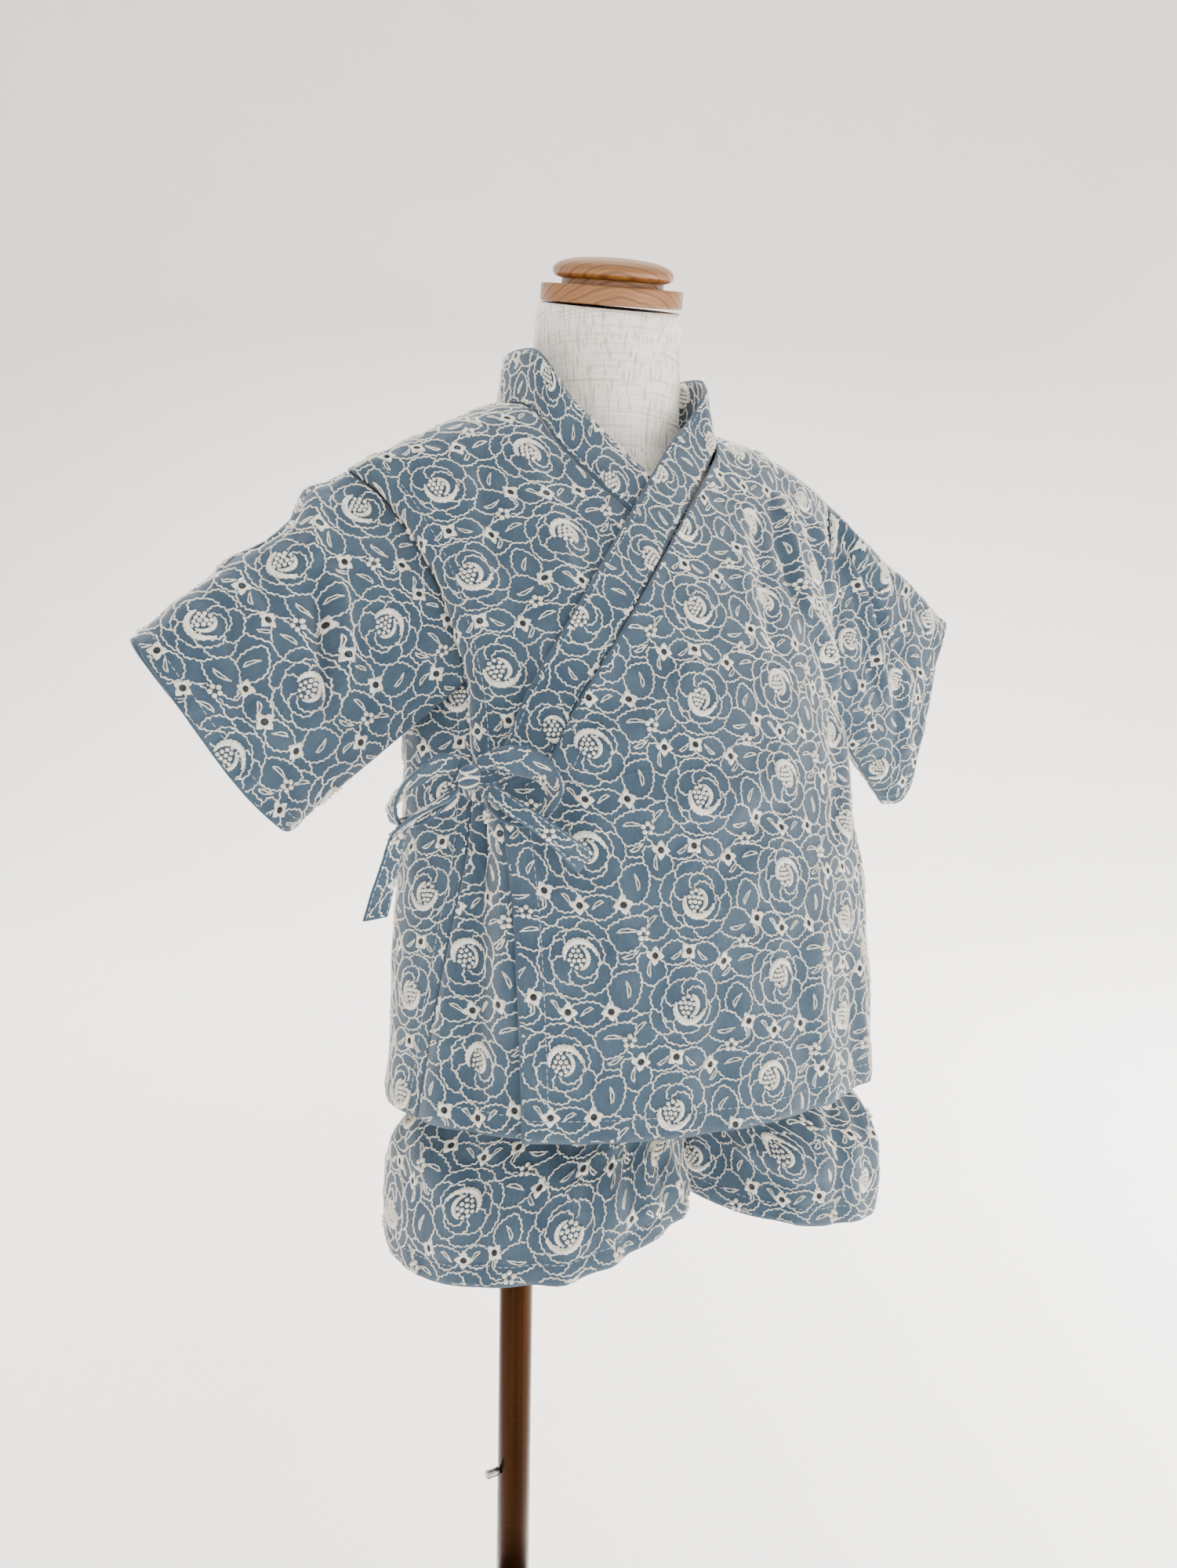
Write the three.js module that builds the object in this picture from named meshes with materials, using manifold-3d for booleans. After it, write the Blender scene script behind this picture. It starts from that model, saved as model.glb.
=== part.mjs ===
// A toddler's jinbei set, a crossed top with short sleeves and matching shorts, on a limbless dress form and its stand.
// Millimetres, +Z up. The wearer faces -Y, and the wearer's right is -X. The origin is on the floor, under the neck.
import * as THREE from "three";
import Module from "manifold-3d";

const wasm = await Module();
wasm.setup();
const { Manifold } = wasm;

// ---- driving dimensions -------------------------------------------------------------------------------------------
const NECK_POINT = 750; // height of the point where collar and shoulder meet
const CLOTH = 1.3; // embroidered cotton wall
const BAND = 2.2; // collar and waistband, folded cloth
const TIE = 1.8; // sewn tie
const SEAM = 0.15; // each side of a seam stays this far from it
const UNDERARM = 0.51; // the row share where the armholes end
const OVERLAP_LIFT = 4.6; // how far the over front lies outside the under front
const COLLAR_WIDTH = { over: 25, under: 31 }; // on the chest
const STAND_HEIGHT = 31; // of the collar round the neck
const SHORTS_WAIST = -262; // heights below the neck point
const SHORTS_CROTCH = -384;
const CROTCH_X = 17; // the seat seam hangs a little to the wearer's left
const FORM_BOTTOM = -330;
const POLE = { x: -57, y: -8, radius: 9 };
const BASE = { radius: 122, thick: 6 };

const COTTON = { color: 0x6f8aa8, roughness: 0.85, metalness: 0 };
const LINEN = { color: 0xd9d2c6, roughness: 0.9, metalness: 0 };
const BEECH = { color: 0xb98352, roughness: 0.45, metalness: 0 };
const BRONZE = { color: 0x5a3a1e, roughness: 0.3, metalness: 0.8 };
const STEEL = { color: 0xa8a59f, roughness: 0.35, metalness: 1 };

// ---- the body of the top: level rings from the shoulder line down to the hem -----------------------------------------
// share: how far down the panel; drop: below the shoulder line; half: half width; front, back, side: where the ring
// stands at its middle front, middle back and sides.
const TOP_ROWS = [
  { share: 0.0, drop: 0, half: 158, front: 0, back: 0, side: 0 },
  { share: 0.05, drop: 3, half: 157, front: -17, back: 18, side: 0 },
  { share: 0.12, drop: 12, half: 155, front: -32, back: 32, side: -1 },
  { share: 0.21, drop: 33, half: 150, front: -47, back: 44, side: -3 },
  { share: 0.32, drop: 66, half: 143, front: -65, back: 52, side: -7 },
  { share: 0.43, drop: 105, half: 134, front: -86, back: 56, side: -12 },
  { share: 0.54, drop: 148, half: 125, front: -102, back: 57, side: -18 },
  { share: 0.66, drop: 196, half: 127, front: -117, back: 57, side: -26 },
  { share: 0.82, drop: 266, half: 133, front: -129, back: 59, side: -33 },
  { share: 1.0, drop: 349, half: 138, front: -134, back: 60, side: -37 },
];
// The armholes' edges, as quarter turns from the middle front, from the shoulder to the underarm.
const ARMHOLE_ROWS = [
  { share: 0.0, frontR: 0.8, backR: 1.2, frontL: 0.8, backL: 1.2 },
  { share: 0.1, frontR: 0.86, backR: 1.22, frontL: 0.79, backL: 1.22 },
  { share: 0.2, frontR: 0.82, backR: 1.24, frontL: 0.77, backL: 1.24 },
  { share: 0.38, frontR: 0.77, backR: 1.2, frontL: 0.78, backL: 1.22 },
  { share: 0.47, frontR: 0.78, backR: 1.04, frontL: 0.83, backL: 1.08 },
  { share: 0.51, frontR: 0.79, backR: 0.79, frontL: 0.9, backL: 0.9 },
];
// The side seams' places below the underarm, counted in the same way.
const SIDE_ROWS = [
  { share: 0.51, right: 0.79, left: 0.9 },
  { share: 0.7, right: 0.81, left: 0.95 },
  { share: 1.0, right: 0.9, left: 1.0 },
];
// The ridge in which the right front turns in over the armhole and side seam: share and how far it is turned in.
const RIDGE_ROWS = [
  { share: 0, turn: 0.25 },
  { share: 0.12, turn: 0.7 },
  { share: 0.3, turn: 1 },
  { share: 0.66, turn: 0.8 },
  { share: 0.85, turn: 0.35 },
  { share: 1, turn: 0.1 },
];
const RIDGE = { start: 0.13, radius: 7.5, angle: 1.9 };
const SHOULDER = { neckX: 64, rise: 10, slopeR: 0.62, slopeL: 0.37, round: 18 };
// Where the collar is sewn on, in the front view: z from the neck point, and x on the over front and on the under front.
const COLLAR_ROWS = [
  { z: -173, over: -88, under: 92 },
  { z: -149, over: -76, under: 70 },
  { z: -126, over: -61, under: 48 },
  { z: -93, over: -37, under: 18 },
  { z: -54, over: -3, under: -20 },
  { z: -27, over: 22, under: -47 },
  { z: -10, over: 38, under: -59 },
  { z: 10, over: 53, under: -63 },
];
const COLLAR_TOP = 10;
const COLLAR_END = -173;
const FRONT_EDGE_X = -104; // the over front's free edge, straight down to the hem
const NECK_BACK = 56; // the back neckline's middle lies this far behind the shoulders
const UNDER_EDGE_X = 62; // the under front's hidden edge
const UNDER_END = -140; // where the collar ends on it

const clamp = (x, low, high) => Math.min(high, Math.max(low, x));
const mix = (a, b, t) => a + (b - a) * t;
const smooth = (t) => {
  const x = clamp(t, 0, 1);
  return x * x * (3 - 2 * x);
};
const vec = (x, y, z) => new THREE.Vector3(x, y, z);
const degrees = Math.PI / 180;

/** One column of a table at a place along its key column, by a smooth curve through the rows. */
function read(rows, key, at, column) {
  let i = 0;
  while (i < rows.length - 2 && at > rows[i + 1][key]) i++;
  const [a, b] = [rows[i], rows[i + 1]];
  const span = b[key] - a[key];
  const slope = (p, q) => (q[column] - p[column]) / (q[key] - p[key]);
  const here = slope(a, b);
  const into = i > 0 ? limited(slope(rows[i - 1], a), here) : here;
  const out = i < rows.length - 2 ? limited(here, slope(b, rows[i + 2])) : here;
  const t = clamp((at - a[key]) / span, 0, 1);
  const [t2, t3] = [t * t, t * t * t];
  return (
    (2 * t3 - 3 * t2 + 1) * a[column] +
    (t3 - 2 * t2 + t) * span * into +
    (3 * t2 - 2 * t3) * b[column] +
    (t3 - t2) * span * out
  );
}
/** The slope at a row between two slopes, flat where they disagree, so that the curve never overshoots. */
function limited(a, b) {
  return a * b <= 0 ? 0 : (2 * a * b) / (a + b);
}

/** Where a panel ends in a row: column is frontR, backR, frontL or backL. */
function edgeTurn(share, column) {
  if (share <= UNDERARM) return read(ARMHOLE_ROWS, "share", share, column);
  return read(SIDE_ROWS, "share", share, column.endsWith("R") ? "right" : "left");
}
/** A level ring's point: turn counts quarter turns from the middle front, -1 is the wearer's right side. */
function ringPoint(turn, share, lift = 0) {
  const angle = (turn * Math.PI) / 2;
  const row = (column) => read(TOP_ROWS, "share", share, column);
  const [half, side] = [row("half"), row("side")];
  const forward = Math.cos(angle);
  const depth = forward > 0 ? row("front") - side : side - row("back");
  const x = (half + lift) * Math.sin(angle);
  const y = side + forward * (depth - lift);
  const drape = Math.hypot(Math.max(0, Math.abs(x) - SHOULDER.neckX), SHOULDER.round) - SHOULDER.round;
  const slope = x < 0 ? SHOULDER.slopeR : SHOULDER.slopeL;
  const z = NECK_POINT + SHOULDER.rise - slope * drape * (1 - share) ** 2 - row("drop");
  return vec(x, y, z);
}

/** The over front's lift above the under front: none at the side seam and the shoulder, full where the two overlap. */
const overLift = (turn, share) => OVERLAP_LIFT * smooth((0.97 - turn) / 0.35) * smooth((share - 0.02) / 0.12);
/** A small step away from the shoulder seam, only beside it. */
const shoulderGap = (share) => SEAM * Math.exp(-share / 0.02);

/** The right front's ring point, whose last part turns in on itself as a ridge. */
function underPoint(turn, share) {
  const edge = -edgeTurn(share, "frontR");
  const start = edge + RIDGE.start;
  const plain = ringPoint(turn, share);
  if (turn >= start) return plain;
  const step = 0.004;
  const base = ringPoint(start, share);
  const along = base.clone().sub(ringPoint(start + step, share)).normalize();
  const inward = vec(-along.y, along.x, 0).normalize();
  const angle = RIDGE.angle * ((start - turn) / RIDGE.start);
  const hooked = base
    .clone()
    .addScaledVector(along, RIDGE.radius * Math.sin(angle))
    .addScaledVector(inward, -RIDGE.radius * (1 - Math.cos(angle)));
  hooked.z = plain.z;
  return plain.lerp(hooked, read(RIDGE_ROWS, "share", share, "turn"));
}

/** The row share at which the front stands at a height, on a given turn. */
function shareAt(turn, z) {
  let [low, high] = [0, 1];
  for (let i = 0; i < 30; i++) {
    const middle = (low + high) / 2;
    if (ringPoint(turn, middle).z > z) low = middle;
    else high = middle;
  }
  return (low + high) / 2;
}
/** The turn at which a row has a given x. */
function turnAt(x, share) {
  const half = read(TOP_ROWS, "share", share, "half");
  return (Math.asin(clamp(x / half, -1, 1)) * 2) / Math.PI;
}
/** The front's turn and share at x and z, with z counted from the neck point. */
function onFront(x, z) {
  let turn = x / 150;
  let share = 0.3;
  for (let i = 0; i < 12; i++) {
    share = shareAt(turn, NECK_POINT + z);
    turn = turnAt(x, share);
  }
  return { turn, share };
}
/** The x of the collar's seam at a height from the neck point. */
const seamX = (z, front) => read(COLLAR_ROWS, "z", clamp(z, COLLAR_END, COLLAR_TOP), front);
/** The turn of a front's free edge in a row: along the collar, then straight down. */
function openEdge(share, front) {
  const under = front === "under";
  let turn = under ? -0.4 : 0.4;
  for (let i = 0; i < 30; i++) {
    const z = ringPoint(turn, share).z - NECK_POINT;
    const straight = under ? UNDER_EDGE_X : FRONT_EDGE_X;
    const seam = under ? Math.min(seamX(z, front), UNDER_EDGE_X) : seamX(z, front);
    turn = mix(turn, turnAt(mix(seam, straight, smooth((COLLAR_END - z) / 6)), share), 0.6);
  }
  return turn;
}

// ---- walls and solids --------------------------------------------------------------------------------------------------
/** A closed geometry from points and faces. */
function solidOf(points, faces) {
  const positions = new Float32Array(points.flatMap((p) => [p.x, p.y, p.z]));
  const geometry = new THREE.BufferGeometry();
  geometry.setAttribute("position", new THREE.BufferAttribute(positions, 3));
  geometry.setIndex(faces);
  return geometry;
}
/** A cloth wall: middle points on a grid, moved half the thickness out and in, and closed round its edges. */
function wall(point, across, down, { thick = CLOTH, ring = false, reach = 0 } = {}) {
  const columns = ring ? across : across + 1;
  const step = 1e-3;
  const at = (u, v) => point(ring ? (u + 1) % 1 : clamp(u, 0, 1), clamp(v, 0, 1));
  const outer = [];
  const inner = [];
  for (let j = 0; j <= down; j++)
    for (let i = 0; i < columns; i++) {
      const [u, v] = [i / across, j / down];
      const normal = at(u + step, v)
        .sub(at(u - step, v))
        .cross(at(u, v + step).sub(at(u, v - step)))
        .normalize();
      const middle = at(u, v);
      // reach lengthens the wall past its edges, for cutting its neighbours back
      const past = (du, dv) => middle.clone().sub(at(u - du * step, v - dv * step)).normalize().multiplyScalar(reach);
      const [left, right] = [!ring && i === 0, !ring && i === across];
      const [first, last] = [j === 0, j === down];
      const push = vec(0, 0, 0);
      if (left || right) push.add(past(left ? -1 : 1, 0));
      if (first || last) push.add(past(0, first ? -1 : 1));
      middle.add(push);
      outer.push(middle.clone().addScaledVector(normal, thick / 2));
      inner.push(middle.clone().addScaledVector(normal, -thick / 2));
    }
  const count = outer.length;
  const index = (i, j) => j * columns + (ring ? i % columns : i);
  const faces = [];
  const quad = (a, b, c, d) => faces.push(a, b, c, a, c, d);
  for (let j = 0; j < down; j++)
    for (let i = 0; i < across; i++) {
      const [a, b, c, d] = [index(i, j), index(i + 1, j), index(i + 1, j + 1), index(i, j + 1)];
      quad(a, b, c, d);
      quad(count + d, count + c, count + b, count + a);
    }
  for (let i = 0; i < across; i++) {
    const [a, b] = [index(i, 0), index(i + 1, 0)];
    quad(b, a, count + a, count + b);
    const [c, d] = [index(i, down), index(i + 1, down)];
    quad(c, d, count + d, count + c);
  }
  if (!ring)
    for (let j = 0; j < down; j++) {
      const [a, b] = [index(0, j), index(0, j + 1)];
      quad(a, b, count + b, count + a);
      const [c, d] = [index(across, j), index(across, j + 1)];
      quad(d, c, count + c, count + d);
    }
  return solidOf([...outer, ...inner], faces);
}
/** A closed solid through level rings of points, each ring closed by a cap at the ends. */
function loft(rings) {
  const n = rings[0].length;
  const points = rings.flat();
  const faces = [];
  for (let j = 0; j < rings.length - 1; j++)
    for (let i = 0; i < n; i++) {
      const [a, b] = [j * n + i, j * n + ((i + 1) % n)];
      faces.push(a, b, b + n, a, b + n, a + n);
    }
  const middle = (ring) => ring.reduce((sum, p) => sum.add(p), vec(0, 0, 0)).divideScalar(n);
  const [low, high] = [points.length, points.length + 1];
  points.push(middle(rings[0]), middle(rings[rings.length - 1]));
  const last = (rings.length - 1) * n;
  for (let i = 0; i < n; i++) {
    const next = (i + 1) % n;
    faces.push(low, next, i, high, last + i, last + next);
  }
  return solidOf(points, faces);
}

/** A geometry less other geometries; only the largest piece stays. */
function less(geometry, ...others) {
  const body = (g) =>
    new Manifold({
      numProp: 3,
      vertProperties: g.getAttribute("position").array,
      triVerts: new Uint32Array(g.getIndex().array),
    });
  const cut = others.reduce((rest, other) => rest.subtract(body(other)), body(geometry));
  const parts = cut.decompose();
  const largest = parts.reduce((a, b) => (a.volume() > b.volume() ? a : b));
  const mesh = largest.getMesh();
  const result = new THREE.BufferGeometry();
  result.setAttribute("position", new THREE.BufferAttribute(mesh.vertProperties.slice(), 3));
  result.setIndex(Array.from(mesh.triVerts));
  return result;
}

const jinbei = new THREE.Group();
function add(name, geometry, finish) {
  const mesh = new THREE.Mesh(geometry, new THREE.MeshStandardMaterial(finish));
  mesh.name = name;
  jinbei.add(mesh);
  return mesh;
}

// ---- the top's panels ------------------------------------------------------------------------------------------------
const turnGap = 0.0014; // about SEAM on a ring of the body's size
const downShare = (v) => v ** 1.15;

function overFront(u, v) {
  const share = downShare(v);
  const side = edgeTurn(share, "frontL") - turnGap;
  const open = openEdge(share, "over") + turnGap;
  const turn = mix(side, open, u);
  const point = ringPoint(turn, share, overLift(turn, share));
  point.y -= shoulderGap(share);
  return point;
}
function underFront(u, v) {
  const share = downShare(v);
  const side = -edgeTurn(share, "frontR") + turnGap;
  const open = openEdge(share, "under") - turnGap;
  const point = underPoint(mix(side, open, u), share);
  point.y -= shoulderGap(share);
  return point;
}
/** The back neckline runs round behind the neck between the two neck points. */
function backPoint(turn, share) {
  const point = ringPoint(turn, share);
  const x = ringPoint(turn, 0).x;
  const across = x > 0 ? x / seamX(COLLAR_TOP, "over") : x / seamX(COLLAR_TOP, "under");
  // a half ring at the neckline itself, a soft swell of the upper back below it
  const ring = Math.sqrt(Math.max(0, 1 - across * across));
  const round = mix(ring, Math.exp(-1.2 * across * across), smooth(share / 0.08));
  const swell = Math.max(0, NECK_BACK * round - point.y) * Math.exp(-((share / 0.3) ** 2));
  point.y += swell + shoulderGap(share);
  point.z += 4 * ring * Math.exp(-((share / 0.16) ** 2));
  return point;
}
function backPanel(u, v) {
  const share = downShare(v);
  const left = edgeTurn(share, "backL") + turnGap;
  const right = 4 - edgeTurn(share, "backR") - turnGap;
  const point = backPoint(mix(left, right, u), share);
  if (share < UNDERARM) return point;
  // Below the arm the back follows the ridge of the right front to their seam.
  const edge = -edgeTurn(share, "frontR");
  const near = smooth((u - 0.9) / 0.1) ** 2;
  return point.add(underPoint(edge, share).sub(ringPoint(edge, share)).multiplyScalar(near));
}
add("front_left", wall(overFront, 20, 18), COTTON);
add("front_right", wall(underFront, 20, 18), COTTON);
const rightCut = wall(underFront, 20, 18, { thick: CLOTH + 0.6, reach: 0.25 });
add("back", less(wall(backPanel, 24, 18), rightCut), COTTON);

// ---- sleeves: from the armhole's loop to the cuff's loop --------------------------------------------------------------
// top and bottom are the cuff's corners; bulge is half its depth, front and behind; out moves its edge in and out.
const CUFFS = {
  right: { top: [-252.6, -12, -119], bottom: [-185, -16, -203], front: 22, behind: 20 },
  left: { top: [254, -12, -87], bottom: [202, -16, -204], front: 15, behind: 7 },
};
const CUFF_WAVE = [
  { around: 0, right: 0, left: 0 },
  { around: 0.17, right: 7, left: -7 },
  { around: 0.3, right: 10, left: 0 },
  { around: 0.42, right: 6, left: 8 },
  { around: 0.5, right: 0, left: 0 },
  { around: 1, right: 0, left: 0 },
];
function armhole(around, side) {
  const front = around <= 0.5;
  const share = UNDERARM * (front ? around * 2 : 2 - around * 2);
  if (side < 0)
    return front
      ? underPoint(-edgeTurn(share, "frontR"), share)
      : ringPoint(-edgeTurn(share, "backR"), share);
  const turn = edgeTurn(share, front ? "frontL" : "backL");
  return ringPoint(turn, share, front ? overLift(turn, share) : 0);
}
function sleevePoint(around, along, side) {
  const cuff = side < 0 ? CUFFS.right : CUFFS.left;
  const [top, bottom] = [vec(...cuff.top), vec(...cuff.bottom)];
  const angle = around * Math.PI * 2;
  const axis = top.clone().sub(bottom);
  const middle = top.clone().add(bottom).multiplyScalar(0.5);
  const sine = Math.sin(angle);
  const bulge = Math.sign(sine) * Math.abs(sine) ** 0.8 * (sine > 0 ? cuff.front : cuff.behind);
  const outward = vec(side * axis.z, 0, -side * axis.x).normalize();
  const end = middle
    .addScaledVector(axis, Math.cos(angle) / 2)
    .addScaledVector(outward, read(CUFF_WAVE, "around", around, side < 0 ? "right" : "left"));
  end.y -= bulge;
  end.z += NECK_POINT;
  const start = armhole(around, side);
  const point = start.lerp(end, along);
  // The cloth fills out between armhole and cuff, and one soft fold hangs beside the armhole.
  const fill = 6 * Math.sin(Math.PI * along) * sine;
  const fold = 3.5 * Math.exp(-(((along - 0.2) / 0.09) ** 2)) * Math.max(0, sine) ** 2;
  point.y -= fill + fold;
  return point;
}
const sleeveStart = 0.012;
const sleeve = (side) => (u, v) => sleevePoint(u, mix(sleeveStart, 1, v), side);
const clearance = { thick: CLOTH + 0.6, reach: 0.3 };
const grown = {
  overFront: wall(overFront, 20, 18, clearance),
  underFront: wall(underFront, 20, 18, clearance),
  back: wall(backPanel, 24, 18, clearance),
};
add("sleeve_right", less(wall(sleeve(-1), 28, 9, { ring: true }), grown.underFront, grown.back), COTTON);
add("sleeve_left", less(wall(sleeve(1), 28, 9, { ring: true }), grown.overFront, grown.back), COTTON);

// ---- collar: one band from the over front's end, round the neck, to the under front's end -------------------------------
// The band starts on the seam line and is as wide as COLLAR_WIDTH on the chest; round the neck it stands up.
function seamPoint(s) {
  // s runs 0..1 on the over front upward, 1..2 behind the neck, 2..3 on the under front downward
  if (s >= 1 && s <= 2) {
    const x = Math.cos((s - 1) * Math.PI) * (s < 1.5 ? seamX(COLLAR_TOP, "over") : -seamX(COLLAR_TOP, "under"));
    return backPoint(turnAt(x, 0), 0);
  }
  const over = s < 1;
  const z = over ? mix(COLLAR_END, COLLAR_TOP, s) : mix(COLLAR_TOP, UNDER_END, s - 2);
  return onBody(seamX(z, over ? "over" : "under"), z, over);
}
/** The collar's own layer at x and z, z counted from the neck point. */
function onBody(x, z, over) {
  const at = onFront(x, z);
  const point = over ? ringPoint(at.turn, at.share, overLift(at.turn, at.share) + 0.2) : ringPoint(at.turn, at.share, 0.6);
  return vec(x, point.y, NECK_POINT + z);
}
function neckSide(s) {
  const seam = seamPoint(s);
  const rise = seam.z - NECK_POINT;
  const behind = clamp(seam.y / NECK_BACK, 0, 1);
  const inward = vec(-seam.x, 6 - seam.y, 0).normalize();
  const stood = seam.clone().addScaledVector(inward, mix(seam.x > 0 ? 3 : 6, 1.5, behind)).add(vec(0, 0, STAND_HEIGHT));
  if (s >= 1 && s <= 2) return stood;
  // on the chest: square to the seam, on the body's own surface
  const over = s < 1;
  const front = over ? "over" : "under";
  const low = clamp(rise - 6, COLLAR_END, COLLAR_TOP - 12);
  const along = vec(seamX(low + 12, front) - seamX(low, front), 0, 12).normalize();
  let reach = COLLAR_WIDTH[front];
  let flat = seam;
  for (let i = 0; i < 4; i++) {
    const z = rise + Math.abs(along.x) * reach;
    flat = onBody(seam.x + (over ? -1 : 1) * along.z * reach, Math.min(z, 4), over);
    flat.z = NECK_POINT + z;
    reach *= COLLAR_WIDTH[front] / flat.distanceTo(seam);
  }
  const turnsUp = over ? 30 : 60; // how far below the neck point the band begins to stand
  return flat.lerp(stood, smooth((rise + turnsUp) / (turnsUp + 9)));
}
function collarPoint(u, v) {
  const s = u * 3;
  const seam = seamPoint(s);
  const edge = neckSide(s);
  const width = seam.distanceTo(edge);
  return seam.lerp(edge, (0.6 + v * (width - 0.6)) / width);
}
add("collar", less(wall(collarPoint, 60, 3, { thick: BAND }), grown.overFront, grown.underFront, grown.back), COTTON);

// ---- the bow: flat sewn strips with free ends, tied in a knot below the end of the collar --------------------------------
// Each row is a place on a strip's middle line, z from the neck point. wide is the strip's width there, and lean how
// far the width leans from upright toward the wearer's left, in degrees; flare turns it forward the same way.
const TIES = {
  bow_loop_right: [
    { x: -126, y: -92.5, z: -170, wide: 7, lean: 10, flare: 0 },
    { x: -118, y: -101, z: -167, wide: 11, lean: 12, flare: 10 },
    { x: -109, y: -106, z: -169, wide: 14, lean: 5, flare: 25 },
    { x: -100, y: -109, z: -174, wide: 14, lean: 0, flare: 50 },
    { x: -96, y: -109, z: -182, wide: 13, lean: 0, flare: 78 },
    { x: -100, y: -107, z: -190, wide: 11, lean: 0, flare: 100 },
    { x: -108, y: -103, z: -195, wide: 9, lean: 0, flare: 120 },
    { x: -116, y: -98, z: -193, wide: 8, lean: 0, flare: 135 },
    { x: -122, y: -94, z: -187, wide: 7, lean: 0, flare: 145 },
  ],
  bow_loop_left: [
    { x: -132, y: -88, z: -171, wide: 7, lean: 0, flare: 0 },
    { x: -139, y: -86, z: -170, wide: 10, lean: -12, flare: 15 },
    { x: -146, y: -81, z: -175, wide: 11, lean: -20, flare: 35 },
    { x: -153, y: -74, z: -182, wide: 11, lean: -25, flare: 58 },
    { x: -156, y: -69, z: -190, wide: 10, lean: -25, flare: 82 },
    { x: -153, y: -68, z: -197, wide: 9, lean: -25, flare: 100 },
    { x: -146, y: -72, z: -196, wide: 8, lean: -20, flare: 118 },
    { x: -139, y: -78, z: -190, wide: 7, lean: -15, flare: 130 },
    { x: -133, y: -84, z: -183, wide: 6, lean: -10, flare: 138 },
  ],
  bow_end_left: [
    { x: -136, y: -91, z: -183, wide: 7, lean: 40, flare: 0 },
    { x: -146, y: -82, z: -190, wide: 8, lean: 50, flare: 0 },
    { x: -154, y: -74, z: -200, wide: 9, lean: 70, flare: 0 },
    { x: -156, y: -70, z: -212, wide: 10, lean: 80, flare: 0 },
    { x: -159, y: -67, z: -226, wide: 11, lean: 82, flare: 0 },
    { x: -162, y: -65, z: -240, wide: 12, lean: 84, flare: 0 },
  ],
  tie_front: [
    { x: -101.5, y: -92.5, z: -168, wide: 12, lean: 5, flare: 0 },
    { x: -106, y: -94, z: -170, wide: 11, lean: 5, flare: 0 },
    { x: -114, y: -94, z: -174, wide: 8, lean: 5, flare: 0 },
    { x: -121, y: -92.5, z: -177, wide: 6, lean: 5, flare: 0 },
    { x: -126, y: -91.5, z: -177, wide: 5, lean: 5, flare: 0 },
  ],
  tie_side: [
    { x: -116.5, y: -63, z: -183, wide: 12, lean: -5, flare: 0 },
    { x: -121, y: -71, z: -181, wide: 10, lean: -5, flare: 0 },
    { x: -125, y: -79, z: -179, wide: 7, lean: 0, flare: 0 },
    { x: -128, y: -87, z: -177, wide: 5, lean: 0, flare: 0 },
  ],
  bow_end_right: [
    { x: -123, y: -98, z: -181, wide: 7, lean: 35, flare: 0 },
    { x: -116, y: -106, z: -188, wide: 8, lean: 40, flare: 10 },
    { x: -106, y: -111, z: -195, wide: 8, lean: 45, flare: 15 },
    { x: -96, y: -114, z: -203, wide: 9, lean: 45, flare: 10 },
    { x: -84, y: -116, z: -213, wide: 12, lean: 40, flare: 0 },
  ],
};
function tiePoint(rows, along, across) {
  const keyed = rows.map((row, i) => ({ ...row, at: i / (rows.length - 1) }));
  const get = (column) => read(keyed, "at", along, column);
  const width = vec(0, 0, 1).applyAxisAngle(vec(1, 0, 0), get("flare") * degrees);
  width.applyAxisAngle(vec(0, 1, 0), get("lean") * degrees);
  return vec(get("x"), get("y"), NECK_POINT + get("z")).addScaledVector(width, get("wide") * (across - 0.5));
}
// The knot is a rounded wrap of the same strip.
const KNOT = { x: -129, y: -91, z: -176, wide: 9, deep: 8, high: 11 };
const knotRings = (margin) => Array.from({ length: 9 }, (_, j) => {
  const lift = mix(-1, 1, j / 8);
  const round = Math.max(0.35, Math.sqrt(Math.max(0, 1 - lift ** 4)));
  return Array.from({ length: 20 }, (_, i) => {
    const angle = (i / 20) * Math.PI * 2;
    const wrap = 1 + 0.06 * Math.cos(3 * angle + lift * 2);
    return vec(
      KNOT.x + (KNOT.wide / 2 + margin) * round * wrap * Math.cos(angle),
      KNOT.y + (KNOT.deep / 2 + margin) * round * wrap * Math.sin(angle),
      NECK_POINT + KNOT.z + (KNOT.high / 2 + margin) * lift,
    );
  });
});
add("bow_knot", loft(knotRings(0)), COTTON);
const roundKnot = loft(knotRings(0.3));
for (const [name, rows] of Object.entries(TIES)) {
  const strip = wall((u, v) => tiePoint(rows, u, v), (rows.length - 1) * 3, 2, { thick: TIE });
  add(name, less(strip, roundKnot), COTTON);
}

// ---- shorts: two legs with their own halves of the seat, and a waistband ------------------------------------------------
// Heights below the neck point. Above the crotch the ring is the body's; below it each leg has its own ring.
const SEAT_ROWS = [
  { z: -470, half: 140, front: -116, back: 56 },
  { z: -400, half: 132, front: -112, back: 54 },
  { z: -340, half: 118, front: -104, back: 46 },
  { z: -262, half: 98, front: -84, back: 32 },
];
const LEG_ROWS = [
  { z: -470, right: -59, halfR: 76, left: 82, halfL: 65, y: -32, depth: 80 },
  { z: -400, right: -59, halfR: 76, left: 82, halfL: 65, y: -32, depth: 80 },
  { z: -340, right: -56, halfR: 66, left: 70, halfL: 60, y: -30, depth: 78 },
];
const HEM_ROWS = [
  { u: 0, right: -391, left: -400 },
  { u: 0.12, right: -392, left: -409 },
  { u: 0.25, right: -402, left: -416 },
  { u: 0.5, right: -417, left: -427 },
  { u: 0.75, right: -414, left: -420 },
  { u: 1, right: -391, left: -400 },
];
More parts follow.
